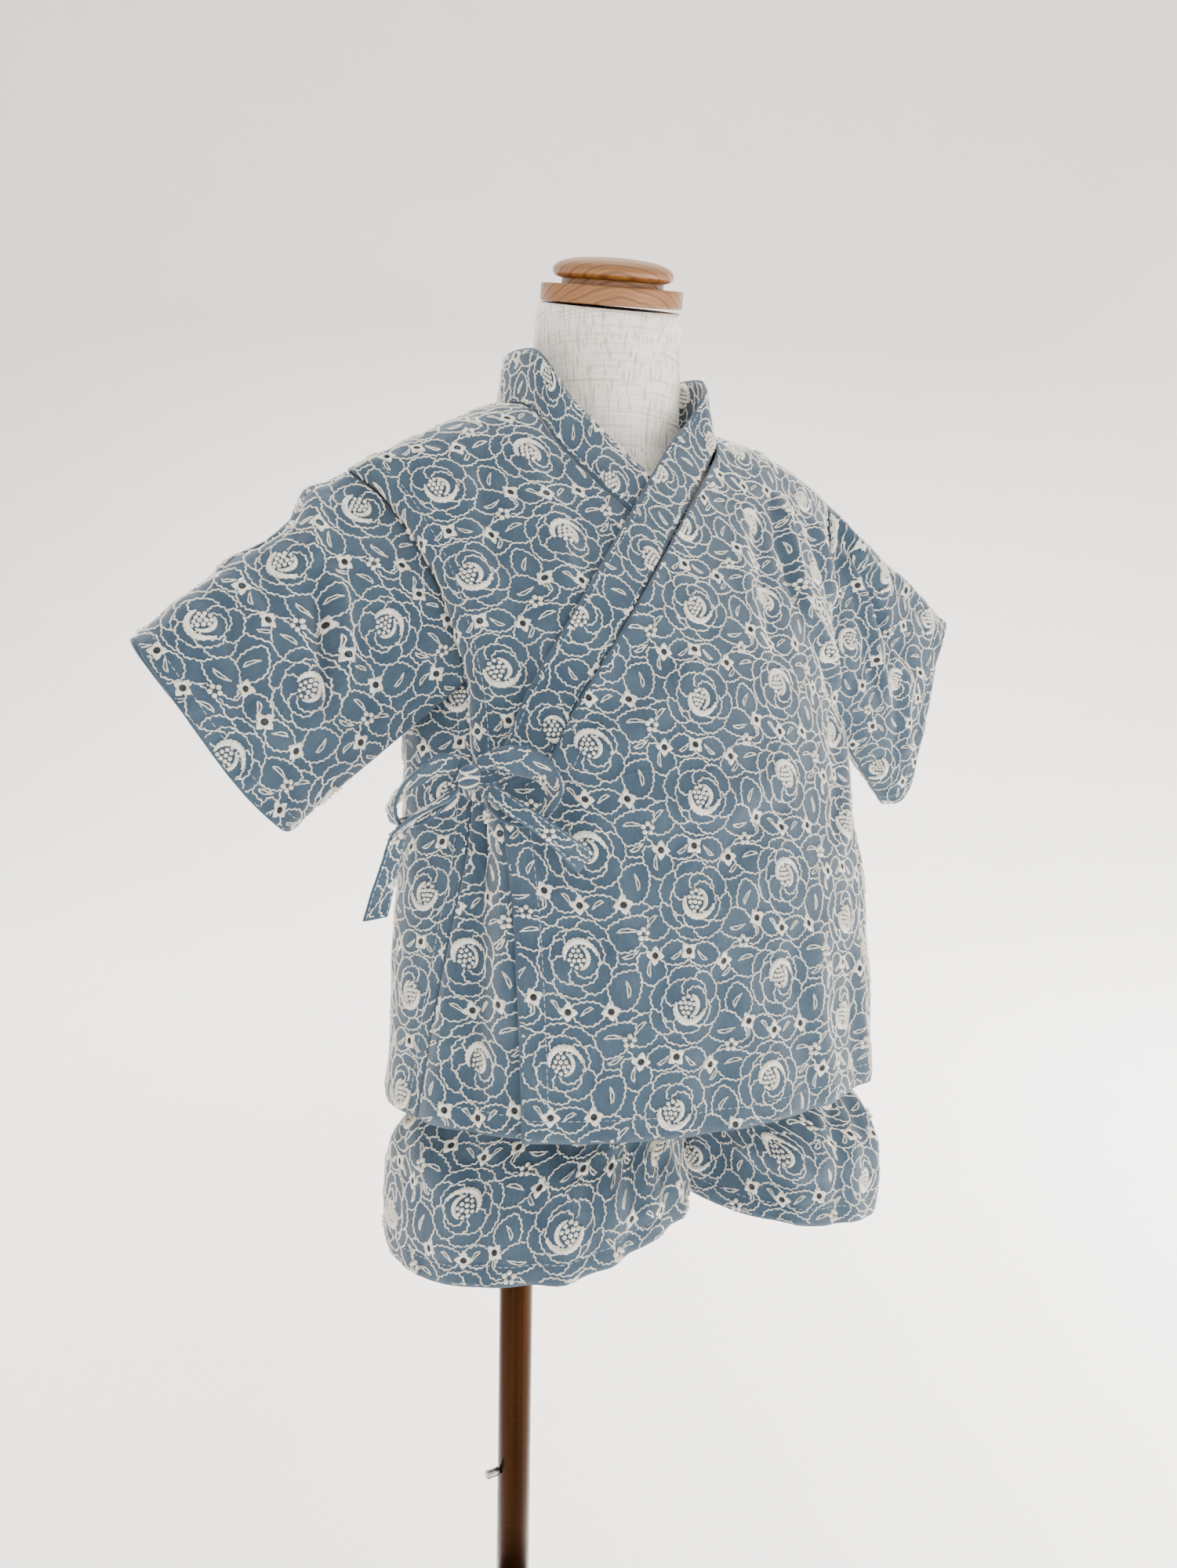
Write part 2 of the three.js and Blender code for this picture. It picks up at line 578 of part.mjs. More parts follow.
function leg(side) {
  const [name, sign] = side < 0 ? ["right", -1] : ["left", 1];
  return (u, v) => {
    const z = mix(SHORTS_WAIST, read(HEM_ROWS, "u", u, name), v);
    const seat = (column) => read(SEAT_ROWS, "z", z, column);
    const own = (column) => read(LEG_ROWS, "z", z, column);
    const turned = u * Math.PI;
    const middleY = (seat("front") + seat("back")) / 2;
    const low = smooth((SHORTS_WAIST - z) / 100);
    const around = vec(
      sign * (seat("half") * Math.sin(turned) + SEAM) + CROTCH_X * low * (1 - Math.sin(turned)),
      middleY - ((seat("back") - seat("front")) / 2) * Math.cos(turned),
      0,
    );
    const ring = u * Math.PI * 2;
    const half = own(side < 0 ? "halfR" : "halfL");
    const tube = vec(
      own(name) - sign * half * Math.cos(ring),
      own("y") - own("depth") * Math.sin(ring) - 0.6 * Math.cos(ring / 2),
      0,
    );
    const inner = CROTCH_X + sign * (SEAM + CLOTH / 2);
    if (sign * (tube.x - inner) < 0) tube.x = inner;
    const point = around.lerp(tube, smooth((SHORTS_CROTCH + 60 - z) / 60));
    point.z = NECK_POINT + z;
    return point;
  };
}
add("shorts_right", wall(leg(-1), 30, 12), COTTON);
add("shorts_left", wall(leg(1), 30, 12), COTTON);
function waistband(u, v) {
  const z = SHORTS_WAIST + SEAM * 2 + 26 * v;
  const angle = u * Math.PI * 2;
  const row = SEAT_ROWS[SEAT_ROWS.length - 1];
  const tuck = 1 - 0.02 * v;
  const middleY = (row.front + row.back) / 2;
  return vec(
    row.half * tuck * Math.sin(angle),
    middleY - ((row.back - row.front) / 2) * tuck * Math.cos(angle),
    NECK_POINT + z,
  );
}
add("waistband", wall(waistband, 40, 1, { thick: BAND, ring: true }), COTTON);

// ---- dress form ----------------------------------------------------------------------------------------------------
// z is counted from the neck point; power shapes the ring, 2 is an ellipse and less is more pointed at the shoulders;
// x moves the ring sideways; forward and aside lean its plane, in degrees.
const FORM_ROWS = [
  { z: FORM_BOTTOM, half: 82, front: -64, back: 20, power: 2, x: 0, forward: 0, aside: 0 },
  { z: -324, half: 88, front: -70, back: 25, power: 2, x: 0, forward: 0, aside: 0 },
  { z: -295, half: 92, front: -76, back: 28, power: 2, x: 0, forward: 0, aside: 0 },
  { z: -250, half: 90, front: -76, back: 24, power: 2, x: 0, forward: 0, aside: 0 },
  { z: -190, half: 86, front: -78, back: 26, power: 2, x: 0, forward: 0, aside: 0 },
  { z: -130, half: 88, front: -72, back: 36, power: 2, x: 0, forward: 0, aside: 0 },
  { z: -80, half: 98, front: -56, back: 42, power: 1.9, x: 0, forward: 0, aside: 0 },
  { z: -45, half: 105, front: -44, back: 41, power: 1.6, x: 0, forward: 0, aside: 0 },
  { z: -25, half: 101, front: -38, back: 40, power: 1.35, x: 0, forward: 0, aside: 0 },
  { z: -12, half: 90, front: -33, back: 40, power: 1.2, x: 0, forward: 0, aside: 0 },
  { z: -4, half: 74, front: -31, back: 42, power: 1.25, x: 0, forward: 1, aside: 0 },
  { z: 3, half: 57, front: -31, back: 44, power: 1.45, x: 0, forward: 3, aside: 1 },
  { z: 10, half: 46, front: -31, back: 46, power: 1.8, x: 0, forward: 6, aside: 2 },
  { z: 20, half: 42.6, front: -32, back: 49, power: 2, x: 0.5, forward: 10, aside: 4 },
  { z: 36, half: 41.4, front: -35, back: 47, power: 2, x: -0.6, forward: 14, aside: 6 },
  { z: 54, half: 40.3, front: -39, back: 41, power: 2, x: -2.4, forward: 17, aside: 7 },
  { z: 69.5, half: 39.6, front: -42, back: 37, power: 2, x: -3.9, forward: 18.5, aside: 7 },
  { z: 71, half: 38, front: -40.8, back: 35, power: 2, x: -4.1, forward: 18.5, aside: 7 },
];
/** A flat ring about the vertical, leaned forward and aside, then set in place. */
function leaned(points, forward, aside, x, y, z) {
  return points.map((p) =>
    p
      .clone()
      .applyAxisAngle(vec(1, 0, 0), forward * degrees)
      .applyAxisAngle(vec(0, 1, 0), -aside * degrees)
      .add(vec(x, y, z)),
  );
}
function formRing(row, sides = 44) {
  const depth = (row.back - row.front) / 2;
  const flat = Array.from({ length: sides }, (_, i) => {
    const angle = (i / sides) * Math.PI * 2;
    const bent = (q) => Math.sign(q) * Math.abs(q) ** (2 / row.power);
    return vec(row.half * bent(Math.cos(angle)), depth * bent(Math.sin(angle)), 0);
  });
  return leaned(flat, row.forward, row.aside, row.x, (row.front + row.back) / 2, NECK_POINT + row.z);
}
add("dress_form", loft(FORM_ROWS.map((row) => formRing(row))), LINEN);

// ---- neck cap: disc, groove and domed knob, leaning with the neck --------------------------------------------------------
const CAP = { x: -3.4, y: -3.4, z: 72.2, forward: 17.3, aside: 7.5 };
const CAP_PROFILE = [
  [37.8, 0],
  [38.5, 0.8],
  [38.5, 8],
  [37.6, 9.1],
  [27.6, 9.3],
  [27.6, 11.8],
  [30.4, 12.7],
  [32.4, 14.6],
  [32.6, 16.4],
  [31.2, 18.6],
  [27.5, 20.7],
  [19.4, 22.5],
  [9.5, 23.4],
];
function capRing([radius, height], sides = 36) {
  const flat = Array.from({ length: sides }, (_, i) => {
    const angle = (i / sides) * Math.PI * 2;
    return vec(radius * Math.cos(angle), radius * Math.sin(angle), height);
  });
  return leaned(flat, CAP.forward, CAP.aside, CAP.x, CAP.y, NECK_POINT + CAP.z);
}
add("neck_cap", loft(CAP_PROFILE.map((row) => capRing(row))), BEECH);

// ---- pole, pin and base -------------------------------------------------------------------------------------------------
function lathe(profile, x, y, sides) {
  return loft(
    profile.map(([radius, z]) =>
      Array.from({ length: sides }, (_, i) => {
        const angle = (i / sides) * Math.PI * 2;
        return vec(x + radius * Math.cos(angle), y + radius * Math.sin(angle), z);
      }),
    ),
  );
}
const poleTop = NECK_POINT + FORM_BOTTOM - SEAM * 2;
const poleProfile = [
  [POLE.radius, BASE.thick + SEAM * 2],
  [POLE.radius, poleTop],
];
add("pole", lathe(poleProfile, POLE.x, POLE.y, 28), BRONZE);
const pinHeight = NECK_POINT - 563;
const pin = lathe([[2.2, 0], [2.2, 7.4], [1.6, 8]], 0, 0, 14);
pin.rotateY(-Math.PI / 2).translate(POLE.x - POLE.radius - SEAM * 2, POLE.y, pinHeight);
add("pin", pin, STEEL);
const { radius, thick } = BASE;
const baseProfile = [
  [radius - 1, 0],
  [radius, 1],
  [radius, thick - 1.5],
  [radius - 1.5, thick],
  [20, thick],
];
add("base_plate", lathe(baseProfile, POLE.x, POLE.y, 48), BRONZE);

export default jinbei;
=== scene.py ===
import math

import bmesh
import bpy
import numpy as np
from mathutils import Matrix


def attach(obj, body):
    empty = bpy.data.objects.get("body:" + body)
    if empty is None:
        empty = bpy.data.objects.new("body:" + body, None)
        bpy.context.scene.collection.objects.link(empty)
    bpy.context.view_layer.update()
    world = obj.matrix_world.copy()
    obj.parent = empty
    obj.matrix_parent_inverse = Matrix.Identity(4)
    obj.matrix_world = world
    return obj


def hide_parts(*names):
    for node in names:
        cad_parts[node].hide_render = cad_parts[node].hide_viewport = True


# A toddler's jinbei set in embroidered cotton on a linen dress form. Lengths in this file are millimetres,
# +Z up, and heights in the tables are counted from the neck point, where collar and shoulder meet. MM turns
# them into metres.
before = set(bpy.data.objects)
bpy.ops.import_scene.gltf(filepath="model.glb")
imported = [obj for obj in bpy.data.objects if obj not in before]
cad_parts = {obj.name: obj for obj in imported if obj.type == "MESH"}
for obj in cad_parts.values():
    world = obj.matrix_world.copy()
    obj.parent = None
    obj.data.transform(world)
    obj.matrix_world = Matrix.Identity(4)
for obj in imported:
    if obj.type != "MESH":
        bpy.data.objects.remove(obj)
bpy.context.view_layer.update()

MM = 0.001
NECK_POINT = 750.0
CLOTH = 1.3
BAND = 2.2
TIE = 1.8
SEAM = 0.15
UNDERARM = 0.51
OVERLAP_LIFT = 4.6
COLLAR_WIDTH = {"over": 25, "under": 31}
STAND_HEIGHT = 31
TURN_GAP = 0.0014
ROW_POWER = 1.15
HEM = {"top": 10, "sleeve": 8, "shorts": 9}

# ---- camera --------------------------------------------------------------------------------------
FRAME = (1501, 2000)
FOCAL_PIXELS = 1503
CAMERA = {
    "azimuth": 32.0,
    "distance": 659.41,
    "aside": -9.08,
    "height": -141.77,
    "pitch": -4.03,
    "roll": 0.94,
}


def make_camera():
    """The camera stands azimuth degrees to the wearer's right and is level but for its pitch and roll."""
    turn, pitch, roll = (math.radians(CAMERA[k]) for k in ("azimuth", "pitch", "roll"))
    back = np.array([-math.sin(turn), -math.cos(turn), 0.0])
    right = np.array([math.cos(turn), -math.sin(turn), 0.0])
    place = back * CAMERA["distance"] + right * CAMERA["aside"]
    place[2] = NECK_POINT + CAMERA["height"]
    ahead = np.array([-back[0] * math.cos(pitch), -back[1] * math.cos(pitch), math.sin(pitch)])
    up = np.cross(right, ahead)
    across = right * math.cos(roll) + up * math.sin(roll)
    above = up * math.cos(roll) - right * math.sin(roll)
    lens = bpy.data.cameras.new("camera")
    lens.sensor_fit = "VERTICAL"
    lens.sensor_height = 36.0
    lens.lens = lens.sensor_height * FOCAL_PIXELS / FRAME[1]
    lens.clip_start, lens.clip_end = 0.02, 50
    camera = bpy.data.objects.new("camera", lens)
    turned_to = np.column_stack([across, above, -ahead, place * MM])
    camera.matrix_world = Matrix([*turned_to.tolist(), [0, 0, 0, 1]])
    bpy.context.scene.collection.objects.link(camera)
    bpy.context.scene.camera = camera


# ---- tables of the cut, as the solids have them --------------------------------------------------
def table(columns, *rows):
    """Named columns of numbers, one array each."""
    return {name: np.array([row[i] for row in rows], float) for i, name in enumerate(columns.split())}


TOP_ROWS = table(
    "share drop half front back side",
    (0.0, 0, 158, 0, 0, 0),
    (0.05, 3, 157, -17, 18, 0),
    (0.12, 12, 155, -32, 32, -1),
    (0.21, 33, 150, -47, 44, -3),
    (0.32, 66, 143, -65, 52, -7),
    (0.43, 105, 134, -86, 56, -12),
    (0.54, 148, 125, -102, 57, -18),
    (0.66, 196, 127, -117, 57, -26),
    (0.82, 266, 133, -129, 59, -33),
    (1.0, 349, 138, -134, 60, -37),
)
ARMHOLE_ROWS = table(
    "share frontR backR frontL backL",
    (0.0, 0.8, 1.2, 0.8, 1.2),
    (0.1, 0.86, 1.22, 0.79, 1.22),
    (0.2, 0.82, 1.24, 0.77, 1.24),
    (0.38, 0.77, 1.2, 0.78, 1.22),
    (0.47, 0.78, 1.04, 0.83, 1.08),
    (0.51, 0.79, 0.79, 0.9, 0.9),
)
SIDE_ROWS = table("share right left", (0.51, 0.79, 0.9), (0.7, 0.81, 0.95), (1.0, 0.9, 1.0))
RIDGE_ROWS = table("share turn", (0, 0.25), (0.12, 0.7), (0.3, 1), (0.66, 0.8), (0.85, 0.35), (1, 0.1))
RIDGE = {"start": 0.13, "radius": 7.5, "angle": 1.9}
SHOULDER = {"neck_x": 64, "rise": 10, "right": 0.62, "left": 0.37, "round": 18}
COLLAR_ROWS = table(
    "z over under",
    (-173, -88, 92),
    (-149, -76, 70),
    (-126, -61, 48),
    (-93, -37, 18),
    (-54, -3, -20),
    (-27, 22, -47),
    (-10, 38, -59),
    (10, 53, -63),
)
COLLAR_TOP, COLLAR_END, FRONT_EDGE_X, NECK_BACK, UNDER_EDGE_X, UNDER_END = 10, -173, -104, 56, 62, -140
CUFFS = {
    -1: {"top": (-252.6, -12, -119), "bottom": (-185, -16, -203), "front": 22, "behind": 20, "wave": "right"},
    1: {"top": (254, -12, -87), "bottom": (202, -16, -204), "front": 15, "behind": 7, "wave": "left"},
}
CUFF_WAVE = table(
    "around right left", (0, 0, 0), (0.17, 7, -7), (0.3, 10, 0), (0.42, 6, 8), (0.5, 0, 0), (1, 0, 0)
)
TIES = {
    "bow_loop_right": table(
        "x y z wide lean flare",
        (-126, -92.5, -170, 7, 10, 0),
        (-118, -101, -167, 11, 12, 10),
        (-109, -106, -169, 14, 5, 25),
        (-100, -109, -174, 14, 0, 50),
        (-96, -109, -182, 13, 0, 78),
        (-100, -107, -190, 11, 0, 100),
        (-108, -103, -195, 9, 0, 120),
        (-116, -98, -193, 8, 0, 135),
        (-122, -94, -187, 7, 0, 145),
    ),
    "bow_loop_left": table(
        "x y z wide lean flare",
        (-132, -88, -171, 7, 0, 0),
        (-139, -86, -170, 10, -12, 15),
        (-146, -81, -175, 11, -20, 35),
        (-153, -74, -182, 11, -25, 58),
        (-156, -69, -190, 10, -25, 82),
        (-153, -68, -197, 9, -25, 100),
        (-146, -72, -196, 8, -20, 118),
        (-139, -78, -190, 7, -15, 130),
        (-133, -84, -183, 6, -10, 138),
    ),
    "bow_end_left": table(
        "x y z wide lean flare",
        (-136, -91, -183, 7, 40, 0),
        (-146, -82, -190, 8, 50, 0),
        (-154, -74, -200, 9, 70, 0),
        (-156, -70, -212, 10, 80, 0),
        (-159, -67, -226, 11, 82, 0),
        (-162, -65, -240, 12, 84, 0),
    ),
    "tie_front": table(
        "x y z wide lean flare",
        (-101.5, -92.5, -168, 12, 5, 0),
        (-106, -94, -170, 11, 5, 0),
        (-114, -94, -174, 8, 5, 0),
        (-121, -92.5, -177, 6, 5, 0),
        (-126, -91.5, -177, 5, 5, 0),
    ),
    "tie_side": table(
        "x y z wide lean flare",
        (-116.5, -63, -183, 12, -5, 0),
        (-121, -71, -181, 10, -5, 0),
        (-125, -79, -179, 7, 0, 0),
        (-128, -87, -177, 5, 0, 0),
    ),
    "bow_end_right": table(
        "x y z wide lean flare",
        (-123, -98, -181, 7, 35, 0),
        (-116, -106, -188, 8, 40, 10),
        (-106, -111, -195, 8, 45, 15),
        (-96, -114, -203, 9, 45, 10),
        (-84, -116, -213, 12, 40, 0),
    ),
}
KNOT = {"x": -129, "y": -91, "z": -176, "wide": 9, "deep": 8, "high": 11}
SHORTS_WAIST, SHORTS_CROTCH, CROTCH_X = -262, -384, 17
SEAT_ROWS = table(
    "z half front back",
    (-470, 140, -116, 56),
    (-400, 132, -112, 54),
    (-340, 118, -104, 46),
    (-262, 98, -84, 32),
)
LEG_ROWS = table(
    "z right halfR left halfL y depth",
    (-470, -59, 76, 82, 65, -32, 80),
    (-400, -59, 76, 82, 65, -32, 80),
    (-340, -56, 66, 70, 60, -30, 78),
)
HEM_ROWS = table(
    "u right left",
    (0, -391, -400),
    (0.12, -392, -409),
    (0.25, -402, -416),
    (0.5, -417, -427),
    (0.75, -414, -420),
    (1, -391, -400),
)
WAISTBAND = {"half": 98, "middle": -26, "depth": 58, "tuck": 0.02, "high": 26}
FORM_ROWS = table(
    "z half front back power x forward aside",
    (-330, 82, -64, 20, 2, 0, 0, 0),
    (-324, 88, -70, 25, 2, 0, 0, 0),
    (-295, 92, -76, 28, 2, 0, 0, 0),
    (-250, 90, -76, 24, 2, 0, 0, 0),
    (-190, 86, -78, 26, 2, 0, 0, 0),
    (-130, 88, -72, 36, 2, 0, 0, 0),
    (-80, 98, -56, 42, 1.9, 0, 0, 0),
    (-45, 105, -44, 41, 1.6, 0, 0, 0),
    (-25, 101, -38, 40, 1.35, 0, 0, 0),
    (-12, 90, -33, 40, 1.2, 0, 0, 0),
    (-4, 74, -31, 42, 1.25, 0, 1, 0),
    (3, 57, -31, 44, 1.45, 0, 3, 1),
    (10, 46, -31, 46, 1.8, 0, 6, 2),
    (20, 42.6, -32, 49, 2, 0.5, 10, 4),
    (36, 41.4, -35, 47, 2, -0.6, 14, 6),
    (54, 40.3, -39, 41, 2, -2.4, 17, 7),
    (69.5, 39.6, -42, 37, 2, -3.9, 18.5, 7),
    (71, 38, -40.8, 35, 2, -4.1, 18.5, 7),
)
CAP = {"x": -3.4, "y": -3.4, "z": 72.2, "forward": 17.3, "aside": 7.5}
CAP_PROFILE = table(
    "radius height",
    (37.8, 0), (38.5, 0.8), (38.5, 8), (37.6, 9.1), (27.6, 9.3), (27.6, 11.8), (30.4, 12.7), (32.4, 14.6),
    (32.6, 16.4), (31.2, 18.6), (27.5, 20.7), (19.4, 22.5), (9.5, 23.4),
)
POLE = {"x": -57, "y": -8, "radius": 9, "top": 419.7, "foot": 6.3, "pin": 187}


# ---- small maths ---------------------------------------------------------------------------------
def smooth(t):
    """0 below 0, 1 above 1, and a soft step between."""
    t = np.clip(t, 0, 1)
    return t * t * (3 - 2 * t)


def mix(a, b, t):
    """The straight blend from a at t = 0 to b at t = 1."""
    return a + (b - a) * t


def read(rows, key, at, column):
    """One column of a table at places along its key, by a smooth curve that never overshoots its rows."""
    x, y = rows[key], rows[column]
    chord = np.diff(y) / np.diff(x)
    slope = np.empty(len(x))
    slope[0], slope[-1] = chord[0], chord[-1]
    product, total = chord[:-1] * chord[1:], chord[:-1] + chord[1:]
    slope[1:-1] = np.where(product > 0, 2 * product / np.where(total == 0, 1, total), 0)
    at = np.asarray(at, float)
    i = np.clip(np.searchsorted(x, at) - 1, 0, len(x) - 2)
    span = x[i + 1] - x[i]
    t = np.clip((at - x[i]) / span, 0, 1)
    t2, t3 = t * t, t * t * t
    ends = (2 * t3 - 3 * t2 + 1) * y[i] + (3 * t2 - 2 * t3) * y[i + 1]
    return ends + span * ((t3 - 2 * t2 + t) * slope[i] + (t3 - t2) * slope[i + 1])


def stack(x, y, z):
    """Points from their three coordinates."""
    return np.stack(np.broadcast_arrays(x, y, z), axis=-1)


def unit(v):
    """Vectors brought to length 1."""
    return v / np.maximum(np.linalg.norm(v, axis=-1, keepdims=True), 1e-12)


def run_along(points, axis):
    """The length up to each point: along a grid's rows (axis 1) or columns (axis 0), or a path (axis 0)."""
    steps = np.linalg.norm(np.diff(points, axis=axis), axis=-1).cumsum(axis=axis)
    return np.insert(steps, 0, 0, axis=axis)


def along_path(path, run, at):
    """The places on a flat path at given lengths from its start."""
    return np.stack([np.interp(at, run, path[:, 0]), np.interp(at, run, path[:, 1])], -1)


# ---- the body of the top -------------------------------------------------------------------------
def edge_turn(share, column):
    """Where a panel ends in a row: along the armhole, then along the side seam."""
    side = "right" if column.endswith("R") else "left"
    return np.where(
        share <= UNDERARM, read(ARMHOLE_ROWS, "share", share, column), read(SIDE_ROWS, "share", share, side)
    )


def ring_point(turn, share, lift=0.0):
    """A level ring: an ellipse with its own depth in front and behind, under a soft shoulder slope. Turn 0
    faces ahead and a quarter turn is 1."""
    angle = turn * np.pi / 2
    half, side = (read(TOP_ROWS, "share", share, c) for c in ("half", "side"))
    front, back = (read(TOP_ROWS, "share", share, c) for c in ("front", "back"))
    forward = np.cos(angle)
    depth = np.where(forward > 0, front - side, side - back)
    x = (half + lift) * np.sin(angle)
    y = side + forward * (depth - lift)
    past = np.maximum(0, np.abs(x) - SHOULDER["neck_x"])
    drape = np.hypot(past, SHOULDER["round"]) - SHOULDER["round"]
    slope = np.where(x < 0, SHOULDER["right"], SHOULDER["left"])
    drop = read(TOP_ROWS, "share", share, "drop")
    z = NECK_POINT + SHOULDER["rise"] - slope * drape * (1 - share) ** 2 - drop
    return stack(x, y, z)


def over_lift(turn, share):
    """The over front's lift above the under front."""
    return OVERLAP_LIFT * smooth((0.97 - turn) / 0.35) * smooth((share - 0.02) / 0.12)


def shoulder_gap(share):
    """Half the gap between front and back at the shoulder, which closes a few rows down."""
    return SEAM * np.exp(-share / 0.02)


def under_point(turn, share):
    """The right front's ring point; its last part rolls in on itself in an arc, a ridge over the armhole."""
    start = -edge_turn(share, "frontR") + RIDGE["start"]
    plain = ring_point(turn, share)
    base = ring_point(start, share)
    along = unit(base - ring_point(start + 0.004, share))
    inward = unit(stack(-along[..., 1], along[..., 0], 0 * share))
    angle = (RIDGE["angle"] * (start - turn) / RIDGE["start"])[..., None]
    hooked = base + RIDGE["radius"] * (along * np.sin(angle) - inward * (1 - np.cos(angle)))
    hooked[..., 2] = plain[..., 2]
    weight = np.where(turn < start, read(RIDGE_ROWS, "share", share, "turn"), 0)[..., None]
    return mix(plain, hooked, weight)


def turn_at(x, share):
    """The turn at which a row's ring stands at x."""
    half = read(TOP_ROWS, "share", share, "half")
    return np.arcsin(np.clip(x / half, -1, 1)) * 2 / np.pi


def share_at(turn, z):
    """The row at which the front stands at a height, by halving."""
    low, high = np.zeros_like(turn), np.ones_like(turn)
    for _ in range(24):
        middle = (low + high) / 2
        above = ring_point(turn, middle)[..., 2] > z
        low, high = np.where(above, middle, low), np.where(above, high, middle)
    return (low + high) / 2


def on_front(x, z):
    """The front's turn and row at x and at a height from the neck point."""
    turn = x / 150.0
    for _ in range(10):
        share = share_at(turn, NECK_POINT + z)
        turn = turn_at(x, share)
    return turn, share


def seam_x(z, front):
    """Where the collar's seam crosses a front at a height."""
    return read(COLLAR_ROWS, "z", np.clip(z, COLLAR_END, COLLAR_TOP), front)


def open_edge(share, front):
    """The turn of a front's free edge in a row: along the collar, then straight down."""
    under = front == "under"
    turn = np.full_like(share, -0.4 if under else 0.4)
    for _ in range(30):
        z = ring_point(turn, share)[..., 2] - NECK_POINT
        seam = np.minimum(seam_x(z, front), UNDER_EDGE_X) if under else seam_x(z, front)
        straight = UNDER_EDGE_X if under else FRONT_EDGE_X
        turn = mix(turn, turn_at(mix(seam, straight, smooth((COLLAR_END - z) / 6)), share), 0.6)
    return turn


def over_front(u, v):
    """The left front: ring points from its armhole or side seam to its open edge, lifted over the right."""
    share = v**ROW_POWER
    turn = mix(edge_turn(share, "frontL") - TURN_GAP, open_edge(share, "over") + TURN_GAP, u)
    point = ring_point(turn, share, over_lift(turn, share))
    point[..., 1] -= shoulder_gap(share)
    return point


def under_front(u, v):
    """The right front: ring points from its armhole or side seam to its open edge."""
    share = v**ROW_POWER
    turn = mix(-edge_turn(share, "frontR") + TURN_GAP, open_edge(share, "under") - TURN_GAP, u)
    point = under_point(turn, share)
    point[..., 1] -= shoulder_gap(share)
    return point


def back_point(turn, share):
    """The back: its neckline runs round behind the neck, over a soft swell of the upper back."""
    point = ring_point(turn, share)
    x = ring_point(turn, 0 * share)[..., 0]
    across = np.where(x > 0, x / seam_x(COLLAR_TOP, "over"), x / seam_x(COLLAR_TOP, "under"))
    ring = np.sqrt(np.maximum(0, 1 - across * across))
    bulge = mix(ring, np.exp(-1.2 * across * across), smooth(share / 0.08))
    swell = np.maximum(0, NECK_BACK * bulge - point[..., 1]) * np.exp(-((share / 0.3) ** 2))
    point[..., 1] += swell + shoulder_gap(share)
    point[..., 2] += 4 * ring * np.exp(-((share / 0.16) ** 2))
    return point


def back_panel(u, v):
    """The back: ring points from side to side, whose last tenth meets the right front's ridge."""
    share = v**ROW_POWER
    left = edge_turn(share, "backL") + TURN_GAP
    right = 4 - edge_turn(share, "backR") - TURN_GAP
    point = back_point(mix(left, right, u), share)
    edge = -edge_turn(share, "frontR")
    near = np.where(share < UNDERARM, 0, smooth((u - 0.9) / 0.1) ** 2)[..., None]
    return point + near * (under_point(edge, share) - ring_point(edge, share))


# ---- sleeves, collar, ties and shorts ------------------------------------------------------------
def armhole(around, side):
    """The armhole's rim: down the front's edge for half a turn, then up the back's."""
    front = around <= 0.5
    share = UNDERARM * np.where(front, around * 2, 2 - around * 2)
    if side < 0:
        ahead = under_point(-edge_turn(share, "frontR"), share)
        behind = ring_point(-edge_turn(share, "backR"), share)
    else:
        turn = edge_turn(share, "frontL")
        ahead = ring_point(turn, share, over_lift(turn, share))
        behind = ring_point(edge_turn(share, "backL"), share)
    return np.where(front[..., None], ahead, behind)


def sleeve_point(around, along, side):
    """Straight lines from the armhole to a flat oval cuff, swelled between the two by a sine, with one soft
    bell-shaped fold by the armhole."""
    cuff = CUFFS[side]
    top, bottom = np.array(cuff["top"], float), np.array(cuff["bottom"], float)
    angle = around * np.pi * 2
    axis = top - bottom
    sine = np.sin(angle)
    bulge = np.sign(sine) * np.abs(sine) ** 0.8 * np.where(sine > 0, cuff["front"], cuff["behind"])
    outward = unit(np.array([side * axis[2], 0, -side * axis[0]]))
    wave = read(CUFF_WAVE, "around", around, cuff["wave"])
    end = (top + bottom) / 2 + np.cos(angle)[..., None] / 2 * axis + wave[..., None] * outward
    end[..., 1] -= bulge
    end[..., 2] += NECK_POINT
    point = mix(armhole(around, side), end, along[..., None])
    fill = 6 * np.sin(np.pi * along) * sine
    fold = 3.5 * np.exp(-(((along - 0.2) / 0.09) ** 2)) * np.maximum(0, sine) ** 2
    point[..., 1] -= fill + fold
    return point


def sleeve(side):
    """u runs round from the underarm over the sleeve's top; v runs from the armhole to the cuff."""
    return lambda u, v: sleeve_point((u - 0.5) % 1.0, mix(0.012, 1, v), side)


def on_body(x, z, over):
    """Points just off a front of the top at x and z."""
    turn, share = on_front(x, z)
    lift = over_lift(turn, share) + 0.2 if over else 0.6
    return stack(x, ring_point(turn, share, lift)[..., 1], NECK_POINT + z)


def seam_point(s):
    """The collar's seam: up the over front, round behind the neck, and down the under front."""
    half = np.where(s < 1.5, seam_x(COLLAR_TOP, "over"), -seam_x(COLLAR_TOP, "under"))
    x = np.cos((s - 1) * np.pi) * half
    behind = back_point(turn_at(x, 0 * s), 0 * s)
    z_over, z_under = mix(COLLAR_END, COLLAR_TOP, s), mix(COLLAR_TOP, UNDER_END, s - 2)
    over = on_body(seam_x(z_over, "over"), np.minimum(z_over, COLLAR_TOP), True)
    under = on_body(seam_x(z_under, "under"), np.minimum(z_under, COLLAR_TOP), False)
    return np.where((s < 1)[..., None], over, np.where((s > 2)[..., None], under, behind))


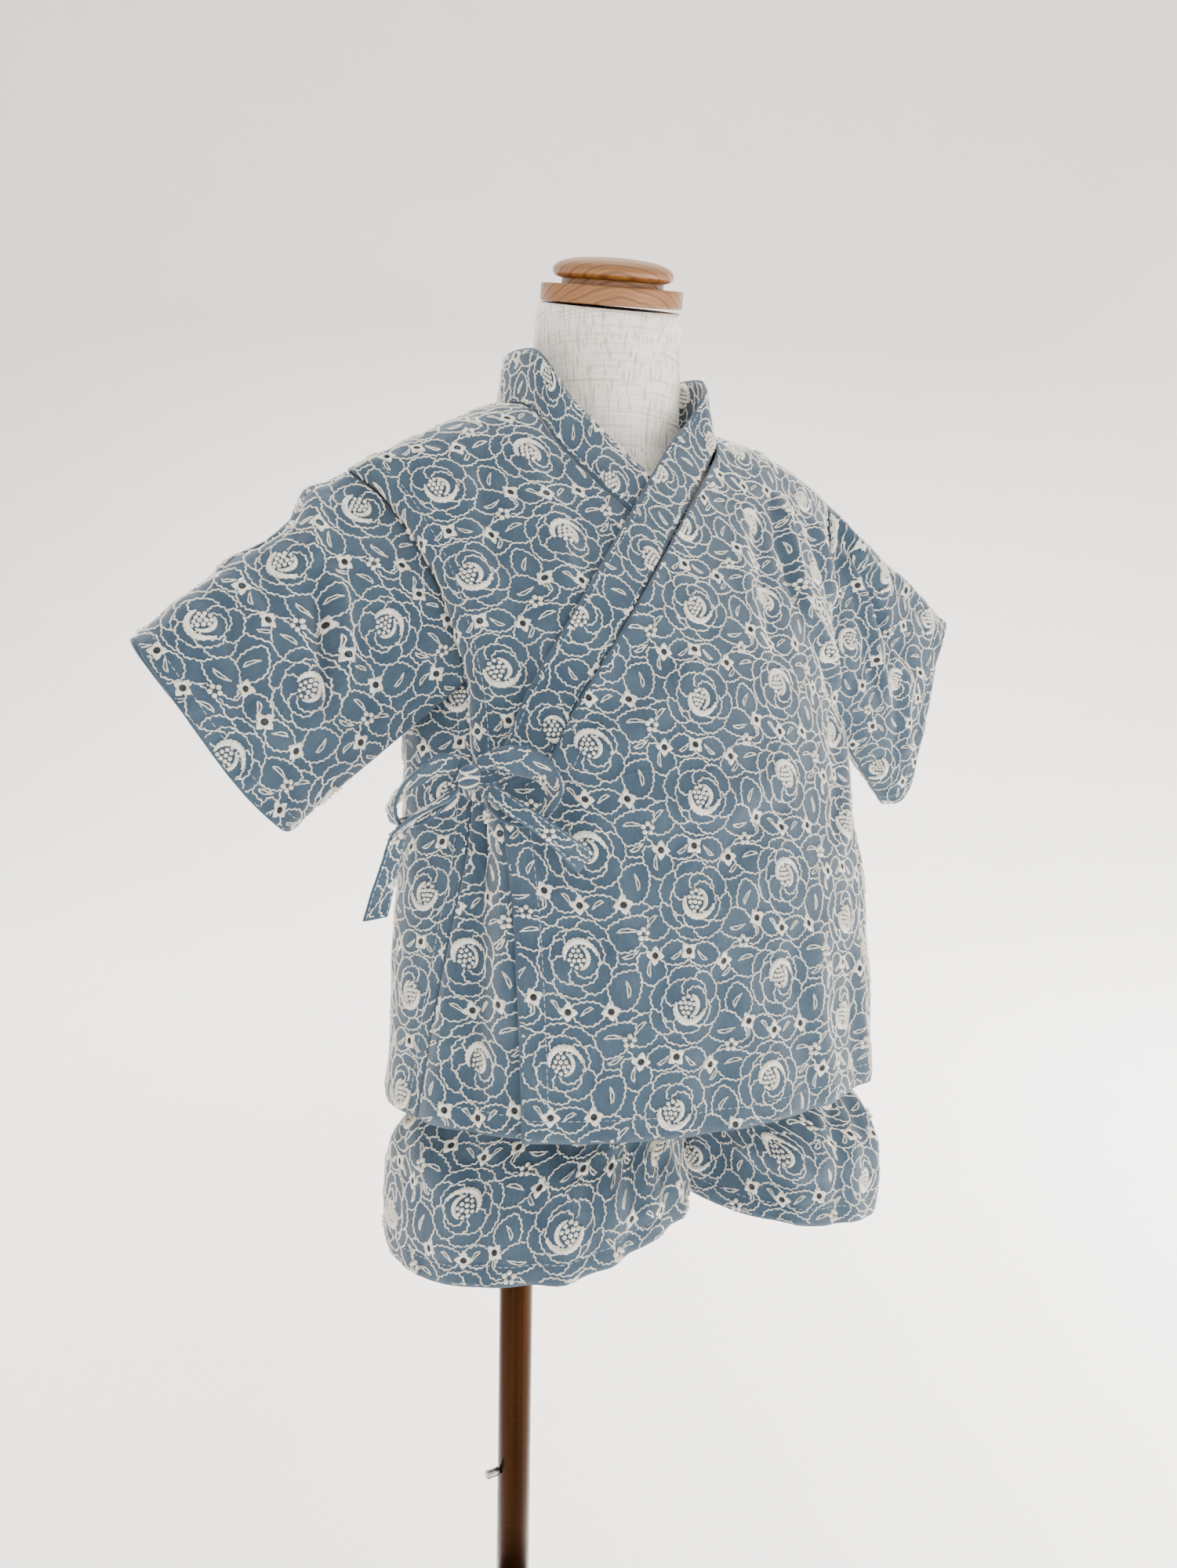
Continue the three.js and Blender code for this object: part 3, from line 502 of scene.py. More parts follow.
def neck_side(s):
    """The collar's free edge: square to the seam on the chest, standing up round the neck."""
    seam = seam_point(s)
    rise = seam[..., 2] - NECK_POINT
    behind = np.clip(seam[..., 1] / NECK_BACK, 0, 1)
    inward = unit(stack(-seam[..., 0], 6 - seam[..., 1], 0 * s))
    lean = mix(np.where(seam[..., 0] > 0, 3, 6), 1.5, behind)
    stood = seam + inward * lean[..., None] + np.array([0, 0, STAND_HEIGHT])
    result = stood.copy()
    for front, over, mask in (("over", True, s < 1), ("under", False, s > 2)):
        low = np.clip(rise - 6, COLLAR_END, COLLAR_TOP - 12)
        along = unit(stack(seam_x(low + 12, front) - seam_x(low, front), 0 * s, 12 + 0 * s))
        reach = np.full_like(s, COLLAR_WIDTH[front])
        for _ in range(4):
            z = rise + np.abs(along[..., 0]) * reach
            flat = on_body(seam[..., 0] + (-1 if over else 1) * along[..., 2] * reach, np.minimum(z, 4), over)
            flat[..., 2] = NECK_POINT + z
            reach = reach * COLLAR_WIDTH[front] / np.linalg.norm(flat - seam, axis=-1)
        turns_up = 30 if over else 60
        chest = mix(flat, stood, smooth((rise + turns_up) / (turns_up + 9))[..., None])
        result = np.where(mask[..., None], chest, result)
    return result


def collar_point(u, v):
    """Straight lines from the collar's seam to its free edge."""
    seam, edge = seam_point(u * 3), neck_side(u * 3)
    width = np.linalg.norm(edge - seam, axis=-1)
    return mix(seam, edge, ((0.6 + v * (width - 0.6)) / width)[..., None])


def tie_strip(rows):
    """A strip along the tie's middle line. Its width leans aside by lean and turns forward by flare, both
    in degrees."""
    keyed = dict(rows, at=np.linspace(0, 1, len(rows["x"])))

    def point(u, v):
        get = lambda column: read(keyed, "at", u, column)
        flare, lean = np.radians(get("flare")), np.radians(get("lean"))
        width = stack(np.cos(flare) * np.sin(lean), -np.sin(flare), np.cos(flare) * np.cos(lean))
        middle = stack(get("x"), get("y"), NECK_POINT + get("z"))
        return middle + width * (get("wide") * (v - 0.5))[..., None]

    return point


def leg(side):
    """Half the seat's ring above the crotch; below it the leg's own tube, flattened against its neighbour."""
    name, sign = ("right", -1) if side < 0 else ("left", 1)

    def point(u, v):
        z = mix(SHORTS_WAIST, read(HEM_ROWS, "u", u, name), v)
        half, front, back = (read(SEAT_ROWS, "z", z, c) for c in ("half", "front", "back"))
        turned, ring = u * np.pi, u * np.pi * 2
        low = smooth((SHORTS_WAIST - z) / 100)
        seat_x = sign * (half * np.sin(turned) + SEAM) + CROTCH_X * low * (1 - np.sin(turned))
        seat_y = (front + back) / 2 - (back - front) / 2 * np.cos(turned)
        own = lambda column: read(LEG_ROWS, "z", z, column)
        tube_x = own(name) - sign * own("halfR" if side < 0 else "halfL") * np.cos(ring)
        tube_y = own("y") - own("depth") * np.sin(ring) - 0.6 * np.cos(ring / 2)
        inner = CROTCH_X + sign * (SEAM + CLOTH / 2)
        tube_x = np.where(sign * (tube_x - inner) < 0, inner, tube_x)
        blend = smooth((SHORTS_CROTCH + 60 - z) / 60)
        return stack(mix(seat_x, tube_x, blend), mix(seat_y, tube_y, blend), NECK_POINT + z)

    return point


def waistband_point(u, v):
    """An oval band that stands on the shorts and narrows a little upward."""
    angle = u * np.pi * 2
    tuck = 1 - WAISTBAND["tuck"] * v
    x = WAISTBAND["half"] * tuck * np.sin(angle)
    y = WAISTBAND["middle"] - WAISTBAND["depth"] * tuck * np.cos(angle)
    return stack(x, y, NECK_POINT + SHORTS_WAIST + SEAM * 2 + WAISTBAND["high"] * v)


# ---- cloth: a panel with its relief and its flat pattern -----------------------------------------
def lattice_noise(a, b, cell, seed):
    """Soft noise from -1 to 1: random heights on a square lattice of that cell, joined by soft steps."""
    heights = np.random.default_rng(seed).uniform(-1, 1, (64, 64))
    x, y = a / cell, b / cell
    i, j = np.floor(x).astype(int), np.floor(y).astype(int)
    s, t = smooth(x - i), smooth(y - j)
    at = lambda p, q: heights[(i + p) % 64, (j + q) % 64]
    return mix(mix(at(0, 0), at(1, 0), s), mix(at(0, 1), at(1, 1), s), t)


def crease_relief(x, z, rows):
    """Soft ridges and troughs along slightly bowed lines from (x0, z0) to (x1, z1) in the front view. Each
    is a bell of its own width and height, with a shallow dip beside it, and fades out toward both ends."""
    relief = np.zeros_like(x)
    for x0, z0, x1, z1, width, height, bow in rows:
        dx, dz = x1 - x0, z1 - z0
        length = math.hypot(dx, dz)
        along = ((x - x0) * dx + (z - z0) * dz) / length**2
        off = ((x - x0) * dz - (z - z0) * dx) / length - bow * (1 - (2 * along - 1) ** 2)
        fade = smooth((along + 0.12) / 0.3) * smooth((1.12 - along) / 0.3)
        side = off / width
        bell, dip = np.exp(-(side**2)), np.exp(-(((side - 1.7) / 0.9) ** 2))
        relief += CREASE_DEPTH * height * fade * (bell - 0.35 * dip)
    return relief


def grid_normals(point):
    """Unit normals from how a grid's points change along its rows and columns."""
    across = np.gradient(point, axis=1)
    down = np.gradient(point, axis=0)
    return unit(np.cross(across, down))


# the cloth's pucker, as layers of noise: cell in millimetres, share of the panel's pucker, and seed
PUCKER_LAYERS = ((7.5, 1.0, 11), (3.6, 0.6, 12), (23, 1.2, 13))
EVERY_EDGE = ("up", "down", "first", "last")
SEAM_FADE = 9


class Panel:
    """A piece of cloth on a grid. base is the solid's middle surface; point adds the creases and the pucker.
    flat_a and flat_b are places in the flat cut: a along the rows from a middle line, b up from the hem, in
    millimetres. At an edge that isn't free, the relief fades out over SEAM_FADE."""

    CELL = 5.0
    PICKS = 40
    LONGEST_STEP = 12
    # whole Newton steps first, then short ones that can settle in a wide cell between narrow ones
    STEPS = (1.0,) * 8 + (0.3,) * 8 + (1.0,) * 3

    def __init__(
        self,
        name,
        surface,
        across,
        down,
        creases=(),
        pucker=0.5,
        free=("down",),
        hem=0,
        flat=None,
        ahead=False,
        roll=0.0,
    ):
        self.name = name
        self.u, self.v = np.meshgrid(np.linspace(0, 1, across + 1), np.linspace(0, 1, down + 1))
        base = surface(self.u, self.v)
        normal = grid_normals(base)
        # outward is away from the middle of each row, or for a straight strip toward the front
        away = -normal[..., 1] if ahead else (normal * (base - base.mean(axis=1, keepdims=True))).sum(-1)
        outward = self.outward = 1 if away.sum() > 0 else -1
        normal = normal * outward
        self.flat_a, self.flat_b = flat(base, self.u, self.v)
        relief = crease_relief(base[..., 0], base[..., 2] - NECK_POINT, creases)
        for cell, share, seed in PUCKER_LAYERS:
            relief += share * pucker * lattice_noise(self.flat_a, self.flat_b, cell, seed)
        if hem:
            turned_up = smooth((hem - self.flat_b) / 1.5)
            groove = np.exp(-(((self.flat_b - hem) / 1.3) ** 2))
            relief += 0.45 * turned_up - 0.5 * groove
        run_a, run_b = run_along(base, 1), run_along(base, 0)
        to_last = run_a[:, -1:] - run_a
        distances = {"first": run_a, "last": to_last, "up": run_b, "down": run_b[-1:] - run_b}
        for edge, distance in distances.items():
            if edge not in free:
                relief = relief * smooth(distance / SEAM_FADE)
        # the free last edge rolls outward a little
        relief = relief + roll * np.exp(-((to_last / 7) ** 2)) * smooth(run_b / 60)
        self.base = base
        self.point = base + normal * relief[..., None]
        self.normal = outward * grid_normals(self.point)
        self._start()

    def _start(self):
        """A coarse lookup from flat places to grid places, as the first guess for place()."""
        self.low = np.array([self.flat_a.min(), self.flat_b.min()])
        high = np.array([self.flat_a.max(), self.flat_b.max()])
        size = ((high - self.low) / self.CELL).astype(int) + 2
        rows, columns = self.flat_a.shape
        pick_j = np.linspace(0, rows - 1, self.PICKS).astype(int)
        pick_i = np.linspace(0, columns - 1, self.PICKS).astype(int)
        jj, ii = np.meshgrid(pick_j, pick_i, indexing="ij")
        nodes = np.stack([self.flat_a[jj, ii].ravel(), self.flat_b[jj, ii].ravel()], -1)
        cx, cy = np.meshgrid(np.arange(size[0]), np.arange(size[1]), indexing="ij")
        centres = np.stack([cx.ravel(), cy.ravel()], -1) * self.CELL + self.low + self.CELL / 2
        near = ((centres[:, None] - nodes[None]) ** 2).sum(-1).argmin(1)
        self.first_i = ii.ravel()[near].reshape(size).astype(float)
        self.first_j = jj.ravel()[near].reshape(size).astype(float)

    def flat_hand(self):
        """1 where flat a, flat b and the outward normal are right-handed, otherwise -1."""
        j, i = self.u.shape[0] // 2, self.u.shape[1] // 2
        across = lambda grid: grid[j, i + 1] - grid[j, i]
        down = lambda grid: grid[j + 1, i] - grid[j, i]
        turn = across(self.flat_a) * down(self.flat_b) - down(self.flat_a) * across(self.flat_b)
        return np.sign(turn * (np.cross(across(self.base), down(self.base)) @ self.normal[j, i]))

    def _blend(self, values, i, j):
        """Values between the grid's nodes, and their change along both of its directions."""
        rows, columns = self.flat_a.shape
        i0 = np.clip(np.floor(i).astype(int), 0, columns - 2)
        j0 = np.clip(np.floor(j).astype(int), 0, rows - 2)
        s, t = i - i0, j - j0
        if values.ndim == 3:
            s, t = s[:, None], t[:, None]
        a, b = values[j0, i0], values[j0, i0 + 1]
        c, d = values[j0 + 1, i0], values[j0 + 1, i0 + 1]
        top, low = mix(a, b, s), mix(c, d, s)
        return mix(top, low, t), mix(b - a, d - c, t), low - top

    def place(self, a, b, height):
        """Points at flat places, lifted off the cloth, whether they are on it, and their u and v. The grid
        place of each is found by Newton's method."""
        rows, columns = self.flat_a.shape
        index = ((np.stack([a, b], -1) - self.low) / self.CELL).astype(int)
        index = np.clip(index, 0, np.array(self.first_i.shape) - 1)
        i, j = self.first_i[index[:, 0], index[:, 1]], self.first_j[index[:, 0], index[:, 1]]
        farthest = self.LONGEST_STEP
        for part in self.STEPS:
            fa, fai, faj = self._blend(self.flat_a, i, j)
            fb, fbi, fbj = self._blend(self.flat_b, i, j)
            ra, rb = a - fa, b - fb
            det = fai * fbj - faj * fbi
            det = np.where(np.abs(det) < 1e-9, 1e-9, det)
            step_i = np.clip((ra * fbj - rb * faj) / det, -farthest, farthest)
            step_j = np.clip((rb * fai - ra * fbi) / det, -farthest, farthest)
            i = np.clip(i + part * step_i, 0, columns - 1)
            j = np.clip(j + part * step_j, 0, rows - 1)
        fa, fb = self._blend(self.flat_a, i, j)[0], self._blend(self.flat_b, i, j)[0]
        inside = np.hypot(a - fa, b - fb) < 0.15
        normal = unit(self._blend(self.normal, i, j)[0])
        lifted = self._blend(self.point, i, j)[0] + normal * height[:, None]
        return lifted, inside, i / (columns - 1), j / (rows - 1)


def length_up(turn, share):
    """The cloth's length from the hem up to a row, along a line of constant turn."""
    across, down, step = 88, 240, 0.05
    turns, shares = np.linspace(-1.2, 3.2, across + 1), np.linspace(0, 1, down + 1)
    points = ring_point(*np.meshgrid(turns, shares))
    up = run_along(points[::-1], 0)[::-1]
    i = np.clip((turn - turns[0]) / step, 0, across - 0.001)
    j = np.clip(share * down, 0, down - 0.001)
    i0, j0 = i.astype(int), j.astype(int)
    s, t = i - i0, j - j0
    return mix(mix(up[j0, i0], up[j0, i0 + 1], s), mix(up[j0 + 1, i0], up[j0 + 1, i0 + 1], s), t)


def body_flat(back=False):
    """Flat places on the body: a is the length along a row from the middle, b the length up from the hem."""

    def flat(base, u, v):
        run = run_along(base, 1)
        sign = np.sign(base[0, -1, 0] - base[0, 0, 0])
        near = np.array([np.clip(0, row.min(), row.max()) for row in base[..., 0]])
        start = np.array([np.interp(sign * x, sign * row, r) for x, row, r in zip(near, base[..., 0], run)])
        share = v**ROW_POWER
        turn = turn_at(base[..., 0], share)
        return sign * (run - start[:, None]) + near[:, None], length_up(2 - turn if back else turn, share)

    return flat


def sleeve_flat(side):
    """Flat places on a sleeve: b is the length up from the cuff, a the length round from the sleeve's top."""
    cuff = CUFFS[side]
    top, bottom = np.array(cuff["top"], float), np.array(cuff["bottom"], float)
    axis = unit(top - bottom)
    inward = -unit(np.array([side * axis[2], 0, -side * axis[0]]))

    def flat(base, u, v):
        origin = top + np.array([0, 0, NECK_POINT])
        run = run_along(base, 1)
        middle = base.shape[1] // 2
        at_top = (base[:, middle] - origin) @ -axis
        arc = run - run[:, middle : middle + 1]
        lean = at_top[:, None] * smooth(np.abs(arc) / 60)
        return arc + np.sign(arc) * lean, (base - origin) @ inward

    return flat


def leg_flat(base, u, v):
    """Flat places on the shorts: a is the length round from the outer side, b the length up from the hem."""
    run = run_along(base, 1)
    middle = base.shape[1] // 2
    return run - run[:, middle : middle + 1], run_along(base[::-1], 0)[::-1]


def strip_flat(base, u, v):
    """Flat places on a band: a is the length along its middle, b the length across it."""
    run = run_along(base[base.shape[0] // 2], 0)
    return np.broadcast_to(run, u.shape).copy(), run_along(base, 0)


# ---- meshes --------------------------------------------------------------------------------------
def new_mesh(name, points, faces, materials, kinds=None, uv=None):
    """A smooth mesh object at the origin from points in millimetres and an array of four-cornered faces."""
    mesh = bpy.data.meshes.new(name)
    faces = np.asarray(faces, np.int32)
    mesh.vertices.add(len(points))
    mesh.vertices.foreach_set("co", (np.asarray(points, np.float32) * MM).ravel())
    mesh.loops.add(faces.size)
    mesh.loops.foreach_set("vertex_index", faces.ravel())
    mesh.polygons.add(len(faces))
    mesh.polygons.foreach_set("loop_start", np.arange(0, faces.size, faces.shape[1], dtype=np.int32))
    for material in materials:
        mesh.materials.append(material)
    if kinds is not None:
        mesh.polygons.foreach_set("material_index", np.asarray(kinds, np.int32))
    if uv is not None:
        layer = mesh.uv_layers.new(name="cut")
        layer.data.foreach_set("uv", np.asarray(uv, np.float32)[faces.ravel()].ravel())
    mesh.update(calc_edges=True)
    mesh.shade_smooth()
    piece = bpy.data.objects.new(name, mesh)
    bpy.context.scene.collection.objects.link(piece)
    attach(piece, "root")
    return piece


def grid_faces(rows, columns, ring=False):
    """Quads of a grid, counted row by row."""
    j, i = np.meshgrid(np.arange(rows - 1), np.arange(columns if ring else columns - 1), indexing="ij")
    after = (i + 1) % columns
    quads = [j * columns + i, j * columns + after, (j + 1) * columns + after, (j + 1) * columns + i]
    return np.stack(quads, -1).reshape(-1, 4)


def cloth_piece(panel, thick, material, rounded=False):
    """A closed wall on both sides of the panel's surface; a rounded one thins toward its long edges."""
    rows, columns = panel.u.shape
    half = np.full(panel.u.shape, thick / 2)
    if rounded:
        half *= np.maximum(0.12, np.sqrt(1 - np.abs(2 * panel.v - 1) ** 6))
    outer = (panel.point + panel.normal * half[..., None]).reshape(-1, 3)
    inner = (panel.point - panel.normal * half[..., None]).reshape(-1, 3)
    face = grid_faces(rows, columns)
    count = rows * columns
    if panel.outward < 0:
        face = face[:, ::-1]
    top, low = np.arange(columns), count - columns + np.arange(columns)
    first, last = np.arange(rows) * columns, np.arange(rows) * columns + columns - 1
    loop = np.concatenate([top, last[1:], low[::-1][1:], first[::-1][1:]])
    rim = np.stack([loop[1:], loop[:-1], loop[:-1] + count, loop[1:] + count], -1)
    if panel.outward < 0:
        rim = rim[:, ::-1]
    faces = np.vstack([face, face[:, ::-1] + count, rim])
    uv = np.stack([panel.flat_a.ravel(), panel.flat_b.ravel()], -1) * MM
    walls = np.vstack([outer, inner])
    return new_mesh(panel.name + "_cloth", walls, faces, [material], uv=np.vstack([uv, uv]))


# ---- embroidery: one repeat, charted in millimetres ----------------------------------------------
REPEAT = (104.0, 48.0)
ROSES = table("x y turn flip", (0, 0, 0, 1), (51, 15, 8, -1))
# petals from the heart outward, each a rounded lobe: its middle's angle and distance, then its half width
# and its half depth
PETALS = table(
    "angle out wide deep",
    (22, 4.6, 7.2, 5.6),
    (70, 7.6, 6.6, 5.0),
    (-22, 7.8, 6.4, 5.2),
    (132, 7.4, 7.0, 5.4),
    (-78, 7.8, 7.4, 5.4),
    (190, 7.2, 6.8, 5.6),
    (236, 8.2, 6.6, 5.2),
    (45, 11.8, 8.0, 6.6),
    (102, 12.0, 8.4, 6.4),
    (-6, 12.2, 7.6, 6.4),
    (160, 11.8, 8.2, 6.8),
    (-54, 12.4, 8.4, 6.4),
    (212, 12.0, 7.8, 6.6),
    (262, 12.6, 8.0, 6.2),
)
SATIN = table(
    "start end near far wide high",
    (168, 352, 5.6, 9.0, 3.1, 1.35),
    (-72, 78, 5.1, 4.9, 2.0, 1.2),
)
SATIN_STEPS = 25
KNOTS = table(
    "x y size",
    (-0.3, 4.2, 1.02), (-2.4, 3.1, 1.0), (1.8, 3.0, 1.0), (-3.6, 1.0, 1.0), (-1.4, 1.2, 1.05),
    (0.9, 1.0, 1.05), (3.0, 0.7, 0.95), (-2.8, -1.2, 1.0), (-0.5, -1.1, 1.05), (1.8, -1.3, 1.0),
    (-1.7, -3.3, 1.0), (0.6, -3.4, 1.0), (-0.6, -5.2, 0.9),
)
LEAVES = table(
    "x y heading long wide hook",
    (11, -8, -14, 24, 14, 1),
    (41, -27, 170, 24, 14, 1),
    (29, -6, 102, 18, 13, -1),
    (11, 13, 22, 19, 12, 1),
    (14, 23, 182, 17, 11, -1),
    (-16, 22, 2, 16, 11, 1),
    (67, 41, 184, 17, 11, 1),
    (36, 41, -4, 16, 11, -1),
    (72, -5, 72, 20, 15, 1),
    (90, 8, 132, 18, 13, -1),
    (62, 23, 38, 24, 14, -1),
    (93, 41, 206, 22, 14, 1),
    (64, 20, 2, 20, 11, 1),
    (22, 30, -60, 16, 12, -1),
    (74, 44, -62, 16, 12, 1),
    (30, -18, 60, 16, 12, 1),
)
STARS = table(
    "x y turn", (17, 21, 10), (34, -6, 35), (86, 21, 0), (69, -6, 20), (-2, 24.5, 45), (50, 38.5, 5)
)
POSIES = table("x y", (26.5, -17.5), (79, 30))
STITCH_STEP = 1.35
THREAD = {"wide": 0.88, "high": 0.6, "swing": 0.31}


class Chart:
    """Collects flat stitches: points are (a, b, height), and kind 1 marks painted shade: a dark sheet in an
    eyelet's hole.
    """

    def __init__(self):
        self.points, self.faces, self.kinds, self.count = [], [], [], 0
        self.covers = []

    def add(self, points, faces, kind=0):
        """Joins one shape's points and faces to the chart."""
        self.points.append(points)
        self.faces.append(np.asarray(faces) + self.count)
        self.kinds.append(np.full(len(faces), kind))
        self.count += len(points)

    def covered(self, place):
        """Whether places lie inside a shape that is already drawn, in this repeat or in one beside it."""
        hidden = np.zeros(len(place), bool)
        for loop in self.covers:
            low, high = loop.min(axis=0), loop.max(axis=0)
            for shift in np.stack(np.meshgrid([-1, 0, 1], [-1, 0, 1]), -1).reshape(-1, 2) * np.array(REPEAT):
                near = np.flatnonzero(((place - shift > low) & (place - shift < high)).all(1) & ~hidden)
                if not len(near):
                    continue
                x, y = (place[near] - shift).T[:, :, None]
                x0, y0, x1, y1 = *loop.T, *np.roll(loop, -1, axis=0).T
                rise = np.where(y1 == y0, 1e-9, y1 - y0)
                crossed = ((y0 > y) != (y1 > y)) & (x < (x1 - x0) * (y - y0) / rise + x0)
                hidden[near[crossed.sum(1) % 2 == 1]] = True
        return hidden

    def seen_line(self, path, **kind):
        """The parts of a line that no shape drawn before covers."""
        path = np.asarray(path, float)
        run = run_along(path, 0)
        at = np.linspace(0, run[-1], max(4, int(run[-1] / 0.3)))
        fine = along_path(path, run, at)
        seen = np.r_[False, ~self.covered(fine), False]
        begins, ends = np.flatnonzero(seen[1:] & ~seen[:-1]), np.flatnonzero(~seen[1:] & seen[:-1])
        for begin, end in zip(begins, ends):
            if end - begin > 5:
                self.line(fine[begin:end], **kind)

    def outline(self, loop, **kind):
        """A closed shape: its edge is stitched where it shows, and it hides what is drawn after it."""
        self.seen_line(np.vstack([loop, loop[:1]]), **kind)
        self.covers.append(loop)

    def line(self, path, wide=THREAD["wide"], high=THREAD["high"], swing=THREAD["swing"], step=STITCH_STEP):
        """A stitched line: a three-sided ridge along the path that swings to and fro at each stitch."""
        path = np.asarray(path, float)
        run = run_along(path, 0)
        count = max(3, int(run[-1] / step) + 1)
        at = np.linspace(0, run[-1], count)
        middle = along_path(path, run, at)
        along = unit(np.gradient(middle, axis=0))
        across = np.stack([-along[:, 1], along[:, 0]], -1)
        beat = (-1.0) ** np.arange(count)
        middle = middle + across * (swing * beat)[:, None]
        half = wide / 2 * (1 + 0.18 * np.sin(1.7 * np.arange(count)))
        half[[0, -1]] *= 0.5
        top = high * (1 + 0.12 * beat)
        left = np.c_[middle + across * half[:, None], np.full(count, -0.1)]
        right = np.c_[middle - across * half[:, None], np.full(count, -0.1)]
        points = np.stack([left, np.c_[middle, top], right], 1).reshape(-1, 3)
        self.add(points, grid_faces(count, 3))

    def dome(self, x, y, size):
        """A round knot: two rings and a small flat top."""
        angle = np.arange(6) * np.pi / 3
        rings = [
            np.c_[x + r * size * np.cos(angle), y + r * size * np.sin(angle), np.full(6, h * size)]
            for r, h in ((1.0, -0.1), (0.9, 0.75), (0.45, 1.25))
        ]
        top = np.array([[0, 1, 2, 3], [0, 3, 4, 5]]) + 12
        faces = np.vstack([grid_faces(3, 6, ring=True), top])
        self.add(np.vstack(rings), faces)


def turned(x, y, degrees, px, py):
    """Places turned by degrees and moved to (px, py)."""
    c, s = math.cos(math.radians(degrees)), math.sin(math.radians(degrees))
    return np.stack([px + c * x - s * y, py + s * x + c * y], -1)


def rows_of(columns):
    """The rows of a table, one tuple each."""
    return list(zip(*columns.values()))


def rose(chart, px, py, turn, flip):
    """Rounded petals that lie over one another, and a heart of knots with satin round it."""
    t = np.arange(48) * 2 * np.pi / 48
    heart = turned(4.6 * np.cos(t) - 0.3, flip * (5.6 * np.sin(t) - 0.3), turn, px, py)
    chart.covers.append(heart)
    for k, (angle, out, wide, deep) in enumerate(rows_of(PETALS)):
        # a lobe is an ellipse with a slight dip in the middle of its outer edge and a wavy rim
        dip = 1 - 0.09 * np.exp(-((((t + np.pi) % (2 * np.pi) - np.pi) / 0.3) ** 2)) * (k % 3 != 0)
        wave = 1 + 0.022 * np.sin(9 * t + k)
        reach = out + deep * np.cos(t) * dip * wave
        side = wide * np.sin(t) * wave
        middle = math.radians(angle)
        x = reach * math.cos(middle) - side * math.sin(middle)
        y = reach * math.sin(middle) + side * math.cos(middle)
        chart.outline(turned(x, flip * y, turn, px, py))
    t = np.linspace(0, 1, SATIN_STEPS)
    for start, end, near, far, most, high in rows_of(SATIN):
        angle = np.radians(start + (end - start) * t)
        wide = most * (0.25 + 0.75 * np.sin(np.pi * t) ** 0.8) / 2
        rag = 0.2 * (-1.0) ** np.arange(SATIN_STEPS)
        rows = []
        for side, lift in ((-1, -0.1), (-0.72, 0.72), (0, 1.0), (0.72, 0.72), (1, -0.1)):
            radius = mix(near, far, t**1.3) + side * (wide + np.abs(side) ** 3 * rag)
            place = turned(radius * np.cos(angle), flip * radius * np.sin(angle) * 1.05, turn, px, py)
            rows.append(np.c_[place, high * lift * (1 + 0.1 * (-1.0) ** np.arange(SATIN_STEPS))])
        faces = grid_faces(SATIN_STEPS, 5)
        chart.add(np.stack(rows, 1).reshape(-1, 3), faces[:, ::-1] if flip > 0 else faces)
    for x, y, size in rows_of(KNOTS):
        (place,) = turned(np.array([x]), np.array([flip * y]), turn, px, py)
        chart.dome(place[0], place[1], size)


def leaf(chart, px, py, heading, long, wide, hook):
    """A pointed outline with a toothed edge and a narrow hooked vein, tucked under what is drawn before."""
    t = np.linspace(0, 1, 28)
    tooth = 0.55 * np.abs(np.sin(4.5 * np.pi * t)) * smooth(t * 3)
    upper = wide / 2 * np.sin(np.pi * t**0.9) ** 0.7 + tooth * np.sin(np.pi * t)
    lower = -wide / 2 * np.sin(np.pi * t**0.82) ** 0.62
    x, y = long * np.r_[t, t[-2:0:-1]], np.r_[upper, lower[-2:0:-1]]
    loop = turned(x, y + 0.06 * hook * long * np.sin(np.pi * x / long), heading, px, py)
    t = np.linspace(0, 1, 16)
    for side in (0.9, -0.9):
        x = long * (0.34 + 0.34 * t)
        y = hook * (4.2 * t**2 - 1.6) + side * np.sin(np.pi * t)
        chart.seen_line(turned(x, y, heading, px, py), wide=0.72, swing=0.1)
    chart.outline(loop)


def star(chart, px, py, turn):
    """A four-pointed satin star round an eyelet: a raised collar, and a dark sheet of painted shade in its
    hole.
    """
    angle = np.arange(16) * np.pi / 8
    point = np.abs(np.cos(2 * angle)) ** 2.2
    rings = []
    for inner, reach, high in ((1.5, 0.0, -0.05), (1.9, 0.2, 0.7), (2.35, 0.9, 0.6), (2.7, 2.1, -0.1)):
        radius = inner + reach * point
        rim = turned(radius * np.cos(angle), radius * np.sin(angle), turn, px, py)
        rings.append(np.c_[rim, np.full(16, high)])
    chart.add(np.vstack(rings), grid_faces(4, 16, ring=True)[:, ::-1])
    # painted shade: a dark sheet just above the cloth, where the eyelet's hole is in shadow
    hole = turned(1.62 * np.cos(angle[::2]), 1.62 * np.sin(angle[::2]), turn, px, py)
    chart.add(np.c_[hole, np.full(8, 0.13)], [[0, 1, 2, 3], [0, 3, 4, 7], [7, 4, 5, 6]], kind=1)
    chart.covers.append(turned(2.2 * np.cos(angle), 2.2 * np.sin(angle), turn, px, py))


def posy(chart, px, py):
    """Five small knots in a ring."""
    for k in range(5):
        angle = k * 2 * np.pi / 5 + 0.4
        chart.dome(px + 2.2 * math.cos(angle), py + 2.2 * math.sin(angle), 1.25)
    ring = np.arange(12) * np.pi / 6
    chart.covers.append(np.stack([px + 3 * np.cos(ring), py + 3 * np.sin(ring)], -1))


def draw_repeat():
    """Small motifs first, then roses, then leaves, because each hides what is drawn after it."""
    chart = Chart()
    for row in rows_of(STARS):
        star(chart, *row)
    for row in rows_of(POSIES):
        posy(chart, *row)
    for row in rows_of(ROSES):
        rose(chart, *row)
    for row in rows_of(LEAVES):
        leaf(chart, *row)
    return np.vstack(chart.points), np.vstack(chart.faces), np.concatenate(chart.kinds)


